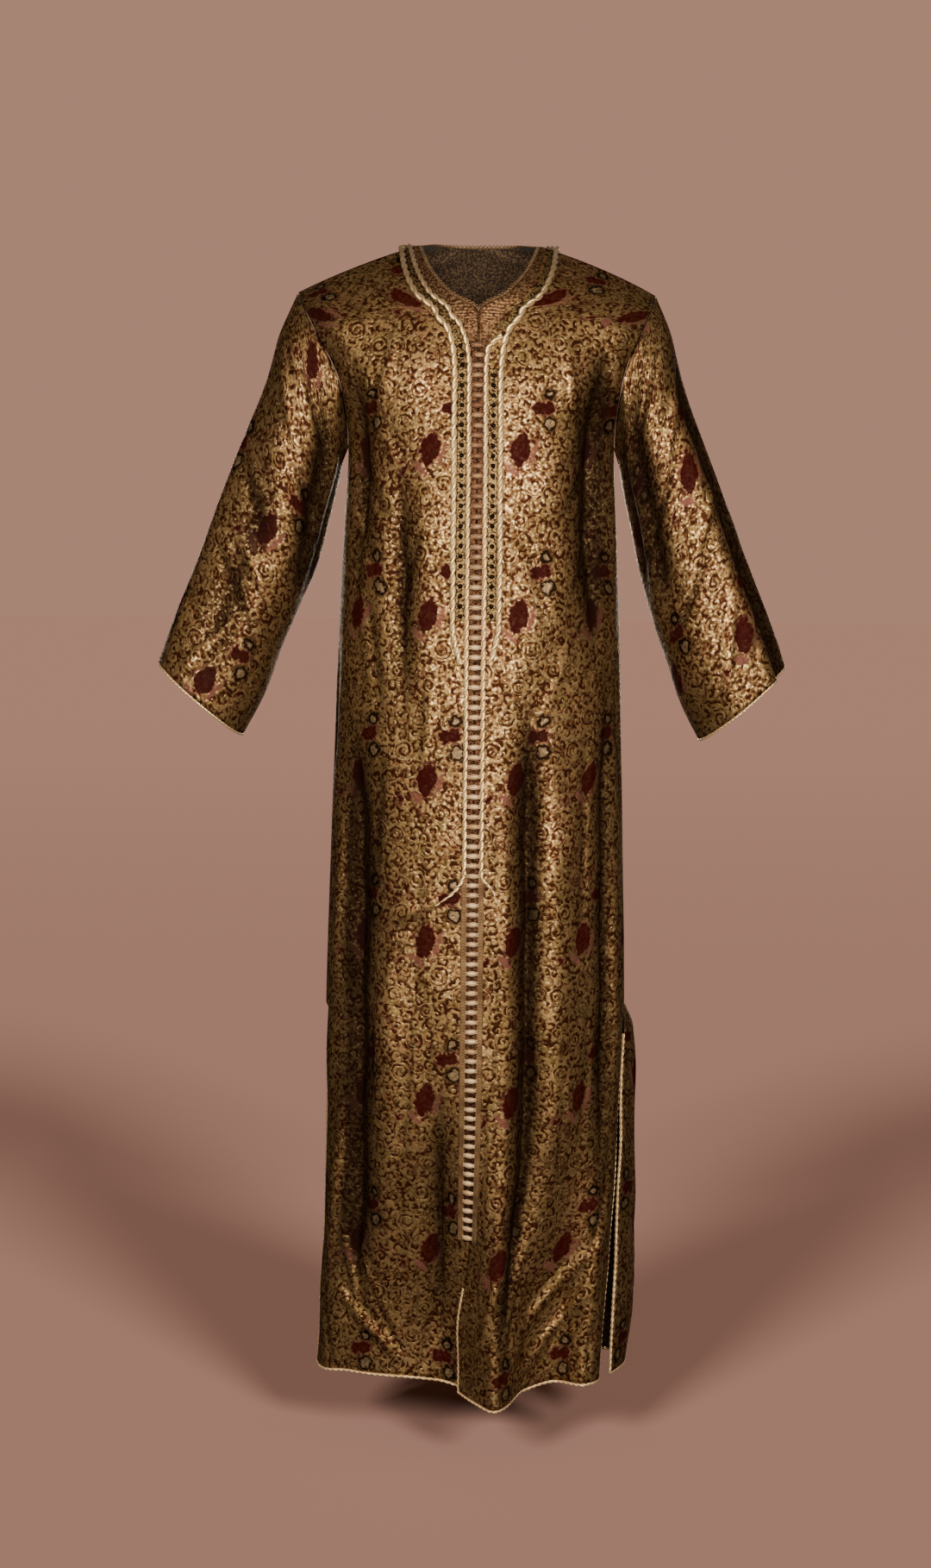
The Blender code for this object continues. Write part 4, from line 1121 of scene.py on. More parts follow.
def make_brocade():
    material, tree, shader = new_material("gold_brocade", 0.5, 0.8)
    shader.inputs["Specular IOR Level"].default_value = 0.03
    measure_node = tree.nodes.new("ShaderNodeUVMap")
    measure_node.uv_map = "cut"
    u, v, _ = split(tree, "ShaderNodeSeparateXYZ", measure_node.outputs[0])
    where = place_at(tree)
    wander = noise(tree, where, WANDER_SCALE, 2.0).outputs["Color"]
    drift_u, drift_v, _ = split(tree, "ShaderNodeSeparateColor", wander)
    u = u + LEAF_FROM_OPENING + (drift_u - 0.5) * (2 * WANDER)
    v = v + (drift_v - 0.5) * (2 * WANDER)
    tile_u, tile_v = wrapped(u, REPEAT_WIDE), wrapped(v, REPEAT_LONG)

    def from_motif(across, along):
        return wrapped(tile_u - across, REPEAT_WIDE), wrapped(tile_v - along, REPEAT_LONG)

    wave, tone = small_curls(tree, u, v)
    for across, along, radius, turns, hand, start in LARGE_CURLS:
        curl, away = spiral(*from_motif(across, along), radius, turns, hand, start)
        inside = away.between(*CURL_EDGE)
        rim = (away - RIM_AT).size().between(*RIM_EDGE)
        curl = curl * (rim * -1.0 + 1.0)
        wave = wave + (curl - wave) * inside
        tone = tone + (rim * 0.4 + 0.25 - tone) * inside

    worn, broad, patch, glint, grain = (mottled(tree, where, *row) for row in UNEVEN.values())
    wave = wave * 1.05 + (grain - 0.5) * 3.1 + (worn - 0.5) * 0.6
    thread, shade = wave.between(*THREAD_EDGE), wave.between(*SHADE_EDGE)
    # Partly painted shade: through the wave, the gold is painted a little paler down the middle of
    # each thread and deeper at its edges, as a round thread is lit; the rest is random tone
    bright = (patch * 1.7 + tone * 0.3 - wave * 0.2).between(*BRIGHT_EDGE)
    gold = swap(tree, bright, GOLD_DEEP, GOLD_PALE)
    gold = swap(tree, worn.between(*OLIVE_EDGE) * 0.6, gold, GOLD_OLIVE)
    gold = swap(tree, glint.between(*GLINT_EDGE) * 0.9, gold, GOLD_GLINT)
    brown = swap(tree, broad.between(*RED_EDGE), GROUND_BROWN, GROUND_RED)
    ground = swap(tree, shade, GROUND_DARK, brown)
    colour = swap(tree, thread, ground, gold)
    metal = thread * 0.30 + 0.62

    for across, along, *sizes in RINGS:
        away = length_of(*from_motif(across, along)) + (grain - 0.5) * RING_RAGGED
        for size, (outside, inside, strength, ink) in zip(sizes, RING_INKS):
            share = away.between(size + outside, size - inside) * strength
            colour = swap(tree, share, colour, ink)
    for across, along, half_long, half_wide, turn, pink in PETALS:
        off = petal(*from_motif(across, along), half_long, half_wide, turn)
        off = off + (thread - 0.5) * PETAL_STEPPED + (grain - 0.5) * PETAL_RAGGED
        if not pink:
            colour = swap(tree, off.between(*HALO_EDGE) * 0.45, colour, PETAL_PINK)
        share = off.between(*PETAL_EDGE)
        colour = swap(tree, share * 0.95, colour, PETAL_PINK if pink else LEAF_RED)
        metal = metal + (-metal + (METAL_PINK if pink else METAL_RED)) * share

    # Painted shade: the colour is mixed towards near-black by the stored share, and the thread is
    # made rougher there
    depth = tree.nodes.new("ShaderNodeAttribute")
    depth.attribute_name = "painted_shade"
    painted_shade_and_matt = Amount(tree, depth.outputs["Fac"])
    tree.links.new(swap(tree, painted_shade_and_matt * PAINTED_SHADE_SHARE, colour, DARK_INK_AND_SHADE), shader.inputs["Base Color"])
    tree.links.new(metal.socket, shader.inputs["Metallic"])
    rough = painted_shade_and_matt * DULL_ROUGH + 0.52 - (glint - 0.5) * 0.7
    tree.links.new(rough.socket, shader.inputs["Roughness"])
    raise_surface(tree, shader, thread + grain * 0.8, BROCADE_RELIEF)
    return material


def make_reverse():
    """The back of the weave: the same threads floating loose and matt over the dark ground."""
    material, tree, shader = new_material("brocade_reverse", 0.75, 0.1, sheen=0.1)
    floats = mottled(tree, place_at(tree), 420.0, 3.0)
    colour = swap(tree, floats.between(0.42, 0.66), REVERSE_DARK, REVERSE_LIGHT)
    tree.links.new(colour, shader.inputs["Base Color"])
    raise_surface(tree, shader, floats, REVERSE_RELIEF)
    return material


# %% [markdown]
# ## Silk cord, braid and knots
# The trims are glossy cream silk, tan braid and braid with metal thread. They share one recipe
# with different colours: two shades mixed in soft patches, some metal for the gloss, and a fine
# grain. Some change to two other shades higher up, towards the neck.

# %% Trim materials
FINE_SCALE, FINE_PART = 1300.0, 0.25
SILK_MOTTLE, WOVEN_MOTTLE = (60.0, 0.36, 0.62), (340.0, 0.44, 0.56)


def make_silk(name, light, dark, roughness=0.5, metallic=0.0, woven=False, sheen=0.1, upper=None):
    """Silk in two shades, speckled where woven. It may have two other shades further up."""
    material, tree, shader = new_material(name, roughness, metallic, sheen)
    where = place_at(tree)
    scale, low, high = WOVEN_MOTTLE if woven else SILK_MOTTLE
    patch = mottled(tree, where, scale, 3.0)
    fine = mottled(tree, where, FINE_SCALE, 1.0)
    mottle = (patch * (1 - FINE_PART) + fine * FINE_PART).between(low, high)
    colour = swap(tree, mottle, dark, light)
    if upper:
        start, full, upper_light, upper_dark = upper
        height = split(tree, "ShaderNodeSeparateXYZ", where)[2]
        higher = swap(tree, mottle, upper_dark, upper_light)
        colour = swap(tree, height.between(start, full), colour, higher)
    tree.links.new(colour, shader.inputs["Base Color"])
    raise_surface(tree, shader, fine, SILK_RELIEF)
    return material


brocade = make_brocade()
reverse = make_reverse()
# Above the chest the cream cord is painted about half as bright: painted shade towards the neck
silk = make_silk("cream_cord", (1.0, 0.75, 0.40), (0.95, 0.66, 0.31), 0.30, metallic=0.70,
                 upper=(-0.11, -0.02, (0.504, 0.346, 0.18), (0.346, 0.216, 0.108)))
tan = make_silk("tan_braid", (0.218, 0.126, 0.0578), (0.109, 0.0564, 0.0245), metallic=0.4)
dim_cord = make_silk("hem_cord", (0.94, 0.68, 0.38), (0.70, 0.45, 0.22), 0.46, metallic=0.55)
knot_silk = make_silk("knot_silk", (0.741, 0.53, 0.312), (0.484, 0.289, 0.14), metallic=0.4,
                      upper=(-0.46, -0.30, (0.374, 0.216, 0.115), (0.173, 0.0756, 0.0396)))
dot_black = make_silk("black_dots", (0.020, 0.010, 0.007), (0.010, 0.005, 0.004),
                      metallic=0.9, sheen=0.0)
dotted_gold = make_silk("dotted_braid", (0.224, 0.146, 0.0598), (0.0238, 0.0109, 0.0048),
                        0.44, metallic=0.75, woven=True, sheen=0.0)
placket = make_silk("placket_braid", (0.102, 0.0435, 0.0211), (0.0286, 0.0122, 0.0068),
                    metallic=0.85, woven=True, sheen=0.0,
                    upper=(-0.125, -0.105, (0.34, 0.19, 0.095), (0.085, 0.036, 0.017)))
for item in pieces.values():
    item.data.materials.append(brocade)
    item.data.materials.append(reverse)
print(len(brocade.node_tree.nodes), "nodes in the brocade")

# %% [markdown]
# ## Places on a panel
# Everything that is sewn to a panel is placed by two numbers that a sewer would use too: a height,
# and a distance in from the opening or the neckline. The panel gives back the point there, moved
# straight out from its face, so each trim follows every fold under it.

# %% Read a panel
class Panel:
    """A panel's points and normals, read at any heights and distances along its rows."""

    def __init__(self, grid, facing):
        self.grid = grid
        self.normals = grid_normals(grid, facing)
        self.lengths = row_lengths(grid)

    def row_point(self, values, rows, across):
        lengths = self.lengths[rows]
        k = np.clip((lengths <= across[:, None]).sum(axis=1) - 1, 0, lengths.shape[1] - 2)
        at = np.arange(len(rows))
        share = ((across - lengths[at, k]) / (lengths[at, k + 1] - lengths[at, k]))[:, None]
        return values[rows, k] * (1 - share) + values[rows, k + 1] * share

    def read(self, values, levels, across):
        levels, across = np.broadcast_arrays(np.atleast_1d(levels), np.atleast_1d(across))
        place = np.interp(levels, LEVELS, np.arange(len(LEVELS)))
        rows = np.minimum(place.astype(int), len(LEVELS) - 2)
        share = (place - rows)[:, None]
        low, high = (self.row_point(values, rows + k, across) for k in (0, 1))
        return low + (high - low) * share

    def out(self, levels, across):
        return unit(self.read(self.normals, levels, across))

    def above(self, levels, across, height):
        """Points at a height over the panel's outer face."""
        point = self.read(self.grid, levels, across)
        return point + self.out(levels, across) * (CLOTH_THICK / 2 + np.reshape(height, (-1, 1)))


front_panels = {side: Panel(grid, side) for side, grid in fronts.items()}
back_panels = {side: Panel(grid, -side) for side, grid in backs.items()}

# %% [markdown]
# ## Cord laid from two strands
# The cord on a kaftan is hand-spun silk, two strands twisted round each other. A curve with a round
# bevel would look like wire, so each strand is drawn as a tube of its own that winds round the
# cord's line. Carrying the cross direction from point to point stops the twist from jumping.

# %% Strands and cords
STRAND_SIDES = 6
CORD_STEP = 0.0012
TWIST = 1.2
STRAND_OFF = 0.43
STRAND_THICK = 0.62
THIN_END = 0.35
CORD_SIT = 0.9
ANY_WAY = (0.31, 0.87, 0.38)


def carried_frames(path, closed=False):
    """Two cross directions at each point of a line, turned as little as possible on the way."""
    ends = np.roll(path, -1, axis=0) - np.roll(path, 1, axis=0)
    tangents = unit(ends if closed else np.gradient(path, axis=0))
    first = np.cross(tangents[0], ANY_WAY)
    sides = [first / np.linalg.norm(first)]
    for tangent in tangents[1:]:
        side = sides[-1] - tangent * (sides[-1] @ tangent)
        sides.append(side / np.linalg.norm(side))
    sides = np.array(sides)
    return tangents, sides, np.cross(tangents, sides)


def tube(points, first, second, radii, sides=STRAND_SIDES, closed=False):
    """Points and faces of one tube round a line, with pointed caps where it is open."""
    angles = np.linspace(0, 2 * math.pi, sides, endpoint=False)
    radii = np.broadcast_to(radii, (len(points),))[:, None, None]
    cos, sin = np.cos(angles)[None, :, None], np.sin(angles)[None, :, None]
    rings = points[:, None] + (first[:, None] * cos + second[:, None] * sin) * radii
    count = len(points)
    faces = []
    for i in range(count if closed else count - 1):
        for j in range(sides):
            a, b = i * sides + j, i * sides + (j + 1) % sides
            c, d = (a + sides) % (count * sides), (b + sides) % (count * sides)
            faces.append([a, b, d, c])
    if not closed:
        faces.append(list(range(sides))[::-1])
        faces.append([(count - 1) * sides + j for j in range(sides)])
    return rings.reshape(-1, 3), faces


def joined(parts):
    """Several sets of points and faces as one."""
    points, faces, first = [], [], 0
    for some, their_faces in parts:
        points.append(some)
        faces += [[first + k for k in face] for face in their_faces]
        first += len(some)
    return np.concatenate(points), faces


def twisted_parts(path, radius, closed=False, taper=0.0):
    """Two strands wound round a path, thinning over the last part of it where taper is set."""
    if closed:
        path = np.concatenate([path, path[:1]])
    long = lengths_along(path)[-1]
    count = max(int(long / CORD_STEP), 8)
    path = even_points(path, count + 1 if closed else count)
    path = path[:-1] if closed else path
    _, first, second = carried_frames(path, closed)
    places = np.linspace(0, long, len(path), endpoint=not closed)
    turns = places / (TWIST * radius)
    if closed:
        whole = long / (TWIST * radius)
        turns *= round(whole / (2 * math.pi)) * 2 * math.pi / whole
    thin = np.ones(len(path))
    if taper:
        thin = THIN_END + (1 - THIN_END) * smooth_step(0, taper, long - places)
    parts = []
    for start in (0, math.pi):
        off = first * np.cos(turns + start)[:, None] + second * np.sin(turns + start)[:, None]
        line = path + off * (radius * STRAND_OFF * thin)[:, None]
        parts.append(tube(line, first, second, radius * STRAND_THICK * thin, closed=closed))
    return parts, long


cord_lengths = {}


def trim_piece(name, points, faces, material, *nodes):
    """Most trims have one material."""
    mesh = mesh_of(name, points, faces)
    mesh.materials.append(material)
    keep(name, bpy.data.objects.new(name, mesh), "cream_cord", *nodes)
    return len(faces)


def cord_piece(node, path, radius, material, closed=False, more=()):
    parts, cord_lengths[node] = twisted_parts(path, radius, closed)
    trim_piece(f"{node}_twist", *joined([*parts, *more]), material, node)


# %% [markdown]
# ## Cords on the fronts
# A pair of cords runs down each side of the opening. The outer pair outlines a long panel and stops
# below the chest; the inner pair goes on beside the knots, and near the hips gives way to a flat
# tan braid, where its ends turn away from the opening.

# %% Routes
OUTER_CORD = (
    # level, distance in from the opening or the neckline
    (0.0000, 0.0200),
    (-0.0280, 0.0260),
    (-0.0605, 0.0370),
    (-0.0835, 0.0490),
    (-0.1050, 0.0350),
    (-0.1300, 0.0285),
    (-0.1600, 0.0265),
    (-0.4450, 0.0262),
    (-0.4720, 0.0215),
    (PLASTRON_END, 0.0164),
)
INNER_CORD_RIGHT = (
    (0.0000, 0.0095),
    (-0.0280, 0.0130),
    (-0.0605, 0.0215),
    (-0.0835, 0.0330),
    (-0.1000, 0.0210),
    (-0.1250, 0.0125),
    (-0.1500, 0.0100),
    (LAST_BUTTON, 0.0100),
)
INNER_CORD_LEFT = (
    (-0.1120, 0.0265),
    (-0.1190, 0.0185),
    (-0.1280, 0.0110),
    (-0.1500, 0.0092),
    (LAST_BUTTON, 0.0092),
)
INNER_TAILS = {
    # level, distance: the end of each inner cord, turned away from the opening
    -1: (
        (BAND_TOP, 0.0100),
        (-0.742, 0.0135),
        (-0.753, 0.0215),
        (-0.764, 0.0330),
        (-0.772, 0.0440),
    ),
    1: (
        (BAND_TOP, 0.0092),
        (-0.741, 0.0122),
        (-0.748, 0.0190),
        (-0.756, 0.0245),
        (-0.768, 0.0275),
    ),
}
OUTER_CORD_BACK = (
    (0.0000, 0.0200),
    (-0.0278, 0.0235),
    (NAPE_LEVEL, 0.0180),
    (-0.0620, 0.0110),
    (-0.0665, 0.0000),
)
ROUTE_STEP = 0.002
TAIL_POINTS = 40
TAIL_TAPER = 0.035
TAIL_SIZE = 0.8


def route_path(panel, route, radius, low=None):
    """A cord's line down a panel, touching its face."""
    low = route[-1][0] if low is None else low
    high = route[0][0]
    levels = np.linspace(low, high, max(int((high - low) / ROUTE_STEP), 4))
    return panel.above(levels, read_table(route, levels)[:, 0], radius)


def tail_parts(panel, tail, radius):
    rows = np.array(tail)
    places = np.linspace(0, len(rows) - 1, TAIL_POINTS)
    levels, across = through(np.arange(len(rows)), rows, places).T
    path = panel.above(levels, across, radius * CORD_SIT)
    return twisted_parts(path, radius, taper=TAIL_TAPER)[0]


# %% Sew the cords down
inner_routes = {-1: INNER_CORD_RIGHT, 1: INNER_CORD_LEFT}
for side, word in SIDES.items():
    panel = front_panels[side]
    path = route_path(panel, OUTER_CORD, OUTER_CORD_R)
    cord_piece(f"outer_cord_{word}", path, OUTER_CORD_R, silk)
    path = route_path(panel, inner_routes[side], INNER_CORD_R, low=BAND_TOP)
    tail = tail_parts(panel, INNER_TAILS[side], INNER_CORD_R * TAIL_SIZE)
    cord_piece(f"inner_cord_{word}", path, INNER_CORD_R, silk, more=tail)

# %% [markdown]
# ## Cords on the edges
# A thinner cord is whipped to every cut edge: round both slits and the hem, up the lower part of
# the opening, and round the cuffs. It lies beside the edge, in the direction that the cloth was
# going, so it is found from the last two lines of points of each panel.

# %% Edge cords
def edge_out(edge, before):
    """The way out of the cloth at each point of an edge, away from the line of points before it."""
    tangent = unit(np.gradient(edge, axis=0))
    out = edge - before
    return unit(out - (out * tangent).sum(axis=1, keepdims=True) * tangent)


def edge_run(edge, before, distance):
    return edge + edge_out(edge, before) * distance


def around_corner(first, second, corner, distance):
    middle = (first[-1] + second[0]) / 2
    bulge = corner + unit(middle - corner) * distance
    return np.concatenate([first, [bulge], second])


def slit_and_hem(grid, distance):
    low = LEVELS <= SLIT_CORD_TOP
    side = edge_run(grid[low, -1], grid[low, -2], distance)[::-1]
    hem = edge_run(grid[0], grid[1], distance)[::-1]
    return around_corner(side, hem, grid[0, -1], distance)


distance = EDGE_CORD_R * CORD_SIT
for side, word in SIDES.items():
    grid = fronts[side]
    low = LEVELS <= FRONT_SLIT_CORD_TOP
    opening = edge_run(grid[low, 0], grid[low, 1], distance)
    path = around_corner(slit_and_hem(grid, distance), opening, grid[0, 0], distance)
    cord_piece(f"edge_cord_front_{word}", path, EDGE_CORD_R, dim_cord)
    sleeve = sleeves[side]
    cuff = sleeve[-1] + unit(sleeve[-1] - sleeve[-2]) * CUFF_CORD_R * CORD_SIT
    cord_piece(f"cuff_cord_{word}", cuff, CUFF_CORD_R, silk, closed=True)


def mirrored_run(right, left):
    """One run of points from the right to the left, through the middle."""
    middle = (right[0] + left[0]) / 2
    return np.concatenate([right[::-1][:-1], [middle], left[1:]])


path = mirrored_run(*(slit_and_hem(backs[side], distance)[::-1] for side in SIDES))
cord_piece("edge_cord_back", path, EDGE_CORD_R, dim_cord)
path = mirrored_run(*(
    route_path(back_panels[side], OUTER_CORD_BACK, OUTER_CORD_R) for side in SIDES
))
cord_piece("outer_cord_back", path, OUTER_CORD_R, silk)
print("cord on the garment", f"{sum(cord_lengths.values()):.2f} m")

# %% [markdown]
# ## Flat woven braid
# Between the cords lie flat braids, woven in a herringbone. Each is a strip of points over the
# panel, fine enough for its ribs to stand up as real relief, with a thin wall. The wide strips
# carry a row of small black knots, one level with each fastening.

# %% Braid strips
BRAID_STEP = 0.0010
RIB_PITCH = 0.0036
RIB_HIGH = 0.00028
DOT_PITCH = 0.0115
DOT_WIDE, DOT_HIGH = 0.0056, 0.0023
DOT_RINGS, DOT_ROUND = 4, 10
BAND_MARGIN = 0.0006
BRAID_LIFT = BRAID_THICK * 0.7
LOOK_AHEAD = 0.002
DOTTED_COLUMNS, PLACKET_COLUMNS, TAN_COLUMNS, NAPE_COLUMNS = 14, 9, 8, 9


def strip_points(panel, low, high, start, stop, columns, lift=0.0):
    """Rows of points across a braid, ribbed to the middle like a herringbone."""
    levels = np.linspace(low, high, max(int((high - low) / BRAID_STEP), 3))
    first, last = start(levels), stop(levels)
    rows = []
    for share in np.linspace(0, 1, columns):
        across = first + (last - first) * share
        ribs = np.cos(2 * math.pi * (levels + abs(across - (first + last) / 2)) / RIB_PITCH)
        edge = 1 - abs(2 * share - 1) ** 6
        rows.append(panel.above(levels, across, lift + BRAID_LIFT + RIB_HIGH * ribs * edge))
    return np.stack(rows, axis=1)


def strip_part(rows, facing):
    """A strip as a thin closed wall: its ribbed face, and an underside that follows it."""
    count, columns = rows.shape[:2]
    under = rows - grid_normals(rows, facing) * BRAID_THICK
    total, last = count * columns, (count - 1) * columns
    faces = quads(count, columns, facing)
    faces += [[total + k for k in face[::-1]] for face in faces]
    loop = [*range(columns), *range(2 * columns - 1, total, columns)]
    loop += [*range(total - 2, last - 1, -1), *range(last - columns, 0, -columns)]
    for a, b in zip(loop, loop[1:] + loop[:1]):
        quad = [b, a, a + total, b + total]
        faces.append(quad if facing > 0 else quad[::-1])
    return np.concatenate([rows.reshape(-1, 3), under.reshape(-1, 3)]), faces


def dome_part(centre, out, up):
    """A low dome on a face, for a small knot of thread."""
    side = np.cross(up, out)
    points = []
    for i in range(DOT_RINGS):
        angle = i / DOT_RINGS * math.pi / 2
        for j in range(DOT_ROUND):
            turn = 2 * math.pi * j / DOT_ROUND
            flat = side * math.cos(turn) * DOT_WIDE / 2 + up * math.sin(turn) * DOT_WIDE / 2
            points.append(centre + flat * math.cos(angle) + out * math.sin(angle) * DOT_HIGH)
    points.append(centre + out * DOT_HIGH)
    faces = quads(DOT_RINGS, DOT_ROUND, 1, closed_round=True)
    last = (DOT_RINGS - 1) * DOT_ROUND
    top = last + DOT_ROUND
    faces += [[last + j, last + (j + 1) % DOT_ROUND, top] for j in range(DOT_ROUND)]
    faces.append(list(range(DOT_ROUND))[::-1])
    return np.array(points), faces


def dot_parts(panel, low, high, start, stop):
    """Small knots down the middle of a braid."""
    levels = np.arange(FIRST_BUTTON - DOT_PITCH / 2, low + DOT_WIDE, -DOT_PITCH)
    levels = levels[levels < high - DOT_WIDE]
    across = (start(levels) + stop(levels)) / 2
    centres = panel.above(levels, across, BRAID_LIFT)
    ahead = panel.above(levels + LOOK_AHEAD, across, 0.0)
    ups = unit(ahead - panel.above(levels, across, 0.0))
    places = zip(centres, panel.out(levels, across), ups)
    return [dome_part(*place) for place in places]


def braid_piece(node, slot, side, run, columns, material, dots=False):
    name, panel = f"{node}_weave", front_panels[side]
    strip = strip_part(strip_points(panel, *run, columns), side)
    points, faces = joined([strip, *dot_parts(panel, *run)]) if dots else strip
    mesh = mesh_of(name, points, faces)
    mesh.materials.append(material)
    mesh.materials.append(dot_black)
    kinds = np.zeros(len(faces), np.int32)
    kinds[len(strip[1]):] = 1
    mesh.polygons.foreach_set("material_index", kinds)
    keep(name, bpy.data.objects.new(name, mesh), slot, node)


# %% Braids of the fronts
FIRST_BUTTON = -0.118
TAN_BAND_WIDE, TAN_BAND_MIDDLE, TAN_BAND_LIFT = 0.0068, 0.0096, 0.0008


def beside(route, way, radius):
    return lambda levels: read_table(route, levels)[:, 0] + way * radius * CORD_SIT


def steady(across):
    return lambda levels: np.full(len(levels), across)


inside_inner = beside(INNER_CORD_RIGHT, -1, INNER_CORD_R)
plastron = beside(INNER_CORD_RIGHT, 1, INNER_CORD_R), beside(OUTER_CORD, -1, OUTER_CORD_R)
crossing_low, crossing_high = CORD_CROSSING
for name, side, low, high in (
    ("plastron_braid_right", -1, PLASTRON_BRAID_END, SHOULDER),
    ("plastron_braid_left", 1, PLASTRON_BRAID_END, crossing_low),
    ("neck_braid_left", 1, crossing_high, SHOULDER),
):
    braid_piece(name, "dotted_braid", side, (low, high, *plastron), DOTTED_COLUMNS, dotted_gold,
                dots=name != "neck_braid_left")
placket_run = LAST_BUTTON, SHOULDER, steady(BAND_MARGIN), inside_inner
tan_sides = (steady(TAN_BAND_MIDDLE + way * TAN_BAND_WIDE / 2) for way in (-1, 1))
tan_run = LAST_BUTTON, BAND_TOP, *tan_sides, TAN_COLUMNS, TAN_BAND_LIFT
for side, word in SIDES.items():
    braid_piece(f"front_braid_{word}", "cream_cord", side, placket_run, PLACKET_COLUMNS, placket)
    rows = strip_points(front_panels[side], *tan_run)
    trim_piece(f"tan_band_{word}", *strip_part(rows, side), tan)

# %% Braid and cord of the back neck
BACK_BAND_WIDE = 0.0070
BACK_BAND_BOTTOM = -0.0620
BACK_BAND_FULL = NAPE_LEVEL + 0.004
BACK_BAND_ROWS = 90


def back_band_rows(panel):
    """From the nape, where the band crosses the centre line, to the shoulder along the neckline."""
    lowest = NAPE_LEVEL - BAND_MARGIN
    levels = np.linspace(lowest, SHOULDER, BACK_BAND_ROWS)
    wide = smooth_step(lowest, BACK_BAND_FULL, levels) * BACK_BAND_WIDE
    low = levels - (1 - wide / BACK_BAND_WIDE) * (NAPE_LEVEL - BACK_BAND_BOTTOM)
    return np.stack([
        panel.above(levels + (low - levels) * share, BAND_MARGIN + wide * share, BRAID_LIFT)
        for share in np.linspace(0, 1, NAPE_COLUMNS)
    ], axis=1)


parts = [strip_part(back_band_rows(back_panels[side]), -side) for side in SIDES]
trim_piece("neck_braid_back_weave", *joined(parts), placket, "neck_braid_back")

# %% [markdown]
# ## Looped edging round the neck
# The neckline ends in a picot: a fine cord with a row of tiny loops standing on it. The cord is
# twisted like the others, and each loop is a small arch of thread that rises from it, in the plane
# of the cloth, every five millimetres.

# %% Neck edging
PICOT_PITCH = 0.0050
PICOT_HIGH = 0.0026
PICOT_THREAD = 0.00062
PICOT_POINTS, PICOT_SIDES = 9, 5
PICOT_SIT, PICOT_CORD, PICOT_FOOT = 0.55, 0.72, 0.4
LEVEL_MARGIN = 0.0002


def picot_parts(path, outs):
    """Arches of thread along a line, standing up towards the outs."""
    lengths = lengths_along(path)
    count = int(lengths[-1] / PICOT_PITCH)
    arch = np.sin(np.linspace(0, math.pi, PICOT_POINTS)) * PICOT_HIGH
    parts = []
    for k in range(count):
        places = (k + np.linspace(0.04, 0.96, PICOT_POINTS)) * lengths[-1] / count
        out = unit(np.stack([np.interp(places, lengths, outs[:, c]) for c in range(3)], axis=-1))
        line = points_at(path, places) + out * arch[:, None]
        _, first, second = carried_frames(line)
        parts.append(tube(line, first, second, PICOT_THREAD, sides=PICOT_SIDES))
    return parts


def neck_piece(node, edge, before):
    out = edge_out(edge, before)
    base = edge + out * (PICOT_R * PICOT_SIT)
    cord, cord_lengths[node] = twisted_parts(base, PICOT_R * PICOT_CORD)
    loops = picot_parts(base + out * PICOT_R * PICOT_FOOT, out)
    trim_piece(f"{node}_picot", *joined(cord + loops), tan, node)


neck_rows = LEVELS > V_POINT - LEVEL_MARGIN
nape_rows = LEVELS > NAPE_LEVEL - LEVEL_MARGIN
for side, word in SIDES.items():
    front = fronts[side]
    neck_piece(f"neck_edging_{word}", front[neck_rows, 0], front[neck_rows, 2])
edge, before = (
    mirrored_run(*(backs[side][nape_rows, column] for side in SIDES)) for column in (0, 2)
)
before[len(before) // 2] += np.array([0.0, 0.004, -0.006])  # keeps the way out upright at the nape
neck_piece("neck_edging_back", edge, before)

# %% [markdown]
# ## Knots and loops
# Ninety-two small knots close the front, each tied from cord on one edge and caught in a loop of
# cord on the other. A knot is a rounded button whose skin is three cords plaited together, so its
# surface is raised along slanting lines. Two short cords on each side lead into the placket.

# %% The row of knots
BUTTON_COUNT = 92
KNOT_WIDE, KNOT_TALL, KNOT_HIGH = 0.0114, 0.0066, 0.0054
KNOT_RINGS, KNOT_ROUND = 13, 16
KNOT_RELIEF = 0.07
KNOT_BLUNT = 0.62
KNOT_ACROSS = 0.004
KNOT_SIT = 0.42
KNOT_SWAY, KNOT_TILT = 0.0003, 0.05
LOOP_CORD = 0.0011
LOOP_START, LOOP_REACH = 0.0030, 0.0070
LOOP_APART = 0.0012
LOOP_LOW, LOOP_ARCH = 0.0010, 0.0016
LOOP_POINTS = 6


def knot_part(centre, across, up, out, turn):
    """A rounded body, drawn out sideways, with slanting plaits standing up on it."""
    points = []
    for i in range(KNOT_RINGS):
        long = -math.pi / 2 + math.pi * (i + 0.5) / KNOT_RINGS
        for j in range(KNOT_ROUND):
            wide = 2 * math.pi * j / KNOT_ROUND
            plait = math.cos(3 * wide + 4.2 * long + turn) * math.cos(2 * wide - 5.0 * long)
            swell = 1 + KNOT_RELIEF * plait * math.cos(long)
            girth = math.cos(long) ** KNOT_BLUNT * swell
            points.append(
                centre
                + across * math.sin(long) * KNOT_WIDE / 2
                + up * math.sin(wide) * girth * KNOT_TALL / 2
                + out * math.cos(wide) * girth * KNOT_HIGH / 2
            )
    faces = quads(KNOT_RINGS, KNOT_ROUND, 1, closed_round=True)
    faces.append(list(range(KNOT_ROUND))[::-1])
    faces.append([(KNOT_RINGS - 1) * KNOT_ROUND + j for j in range(KNOT_ROUND)])
    return np.array(points), faces


def loop_parts(panel, level):
    """Two short cords from the placket to a knot, side by side and slightly arched."""
    across = np.linspace(LOOP_START, LOOP_REACH, LOOP_POINTS)
    lift = LOOP_LOW + LOOP_ARCH * np.cos(np.linspace(0.3, 1.5, LOOP_POINTS)) + LOOP_CORD
    parts = []
    for step in (-LOOP_APART, LOOP_APART):
        line = panel.above(np.full(LOOP_POINTS, level + step), across, lift)
        _, first, second = carried_frames(line)
        parts.append(tube(line, first, second, LOOP_CORD))
    return parts


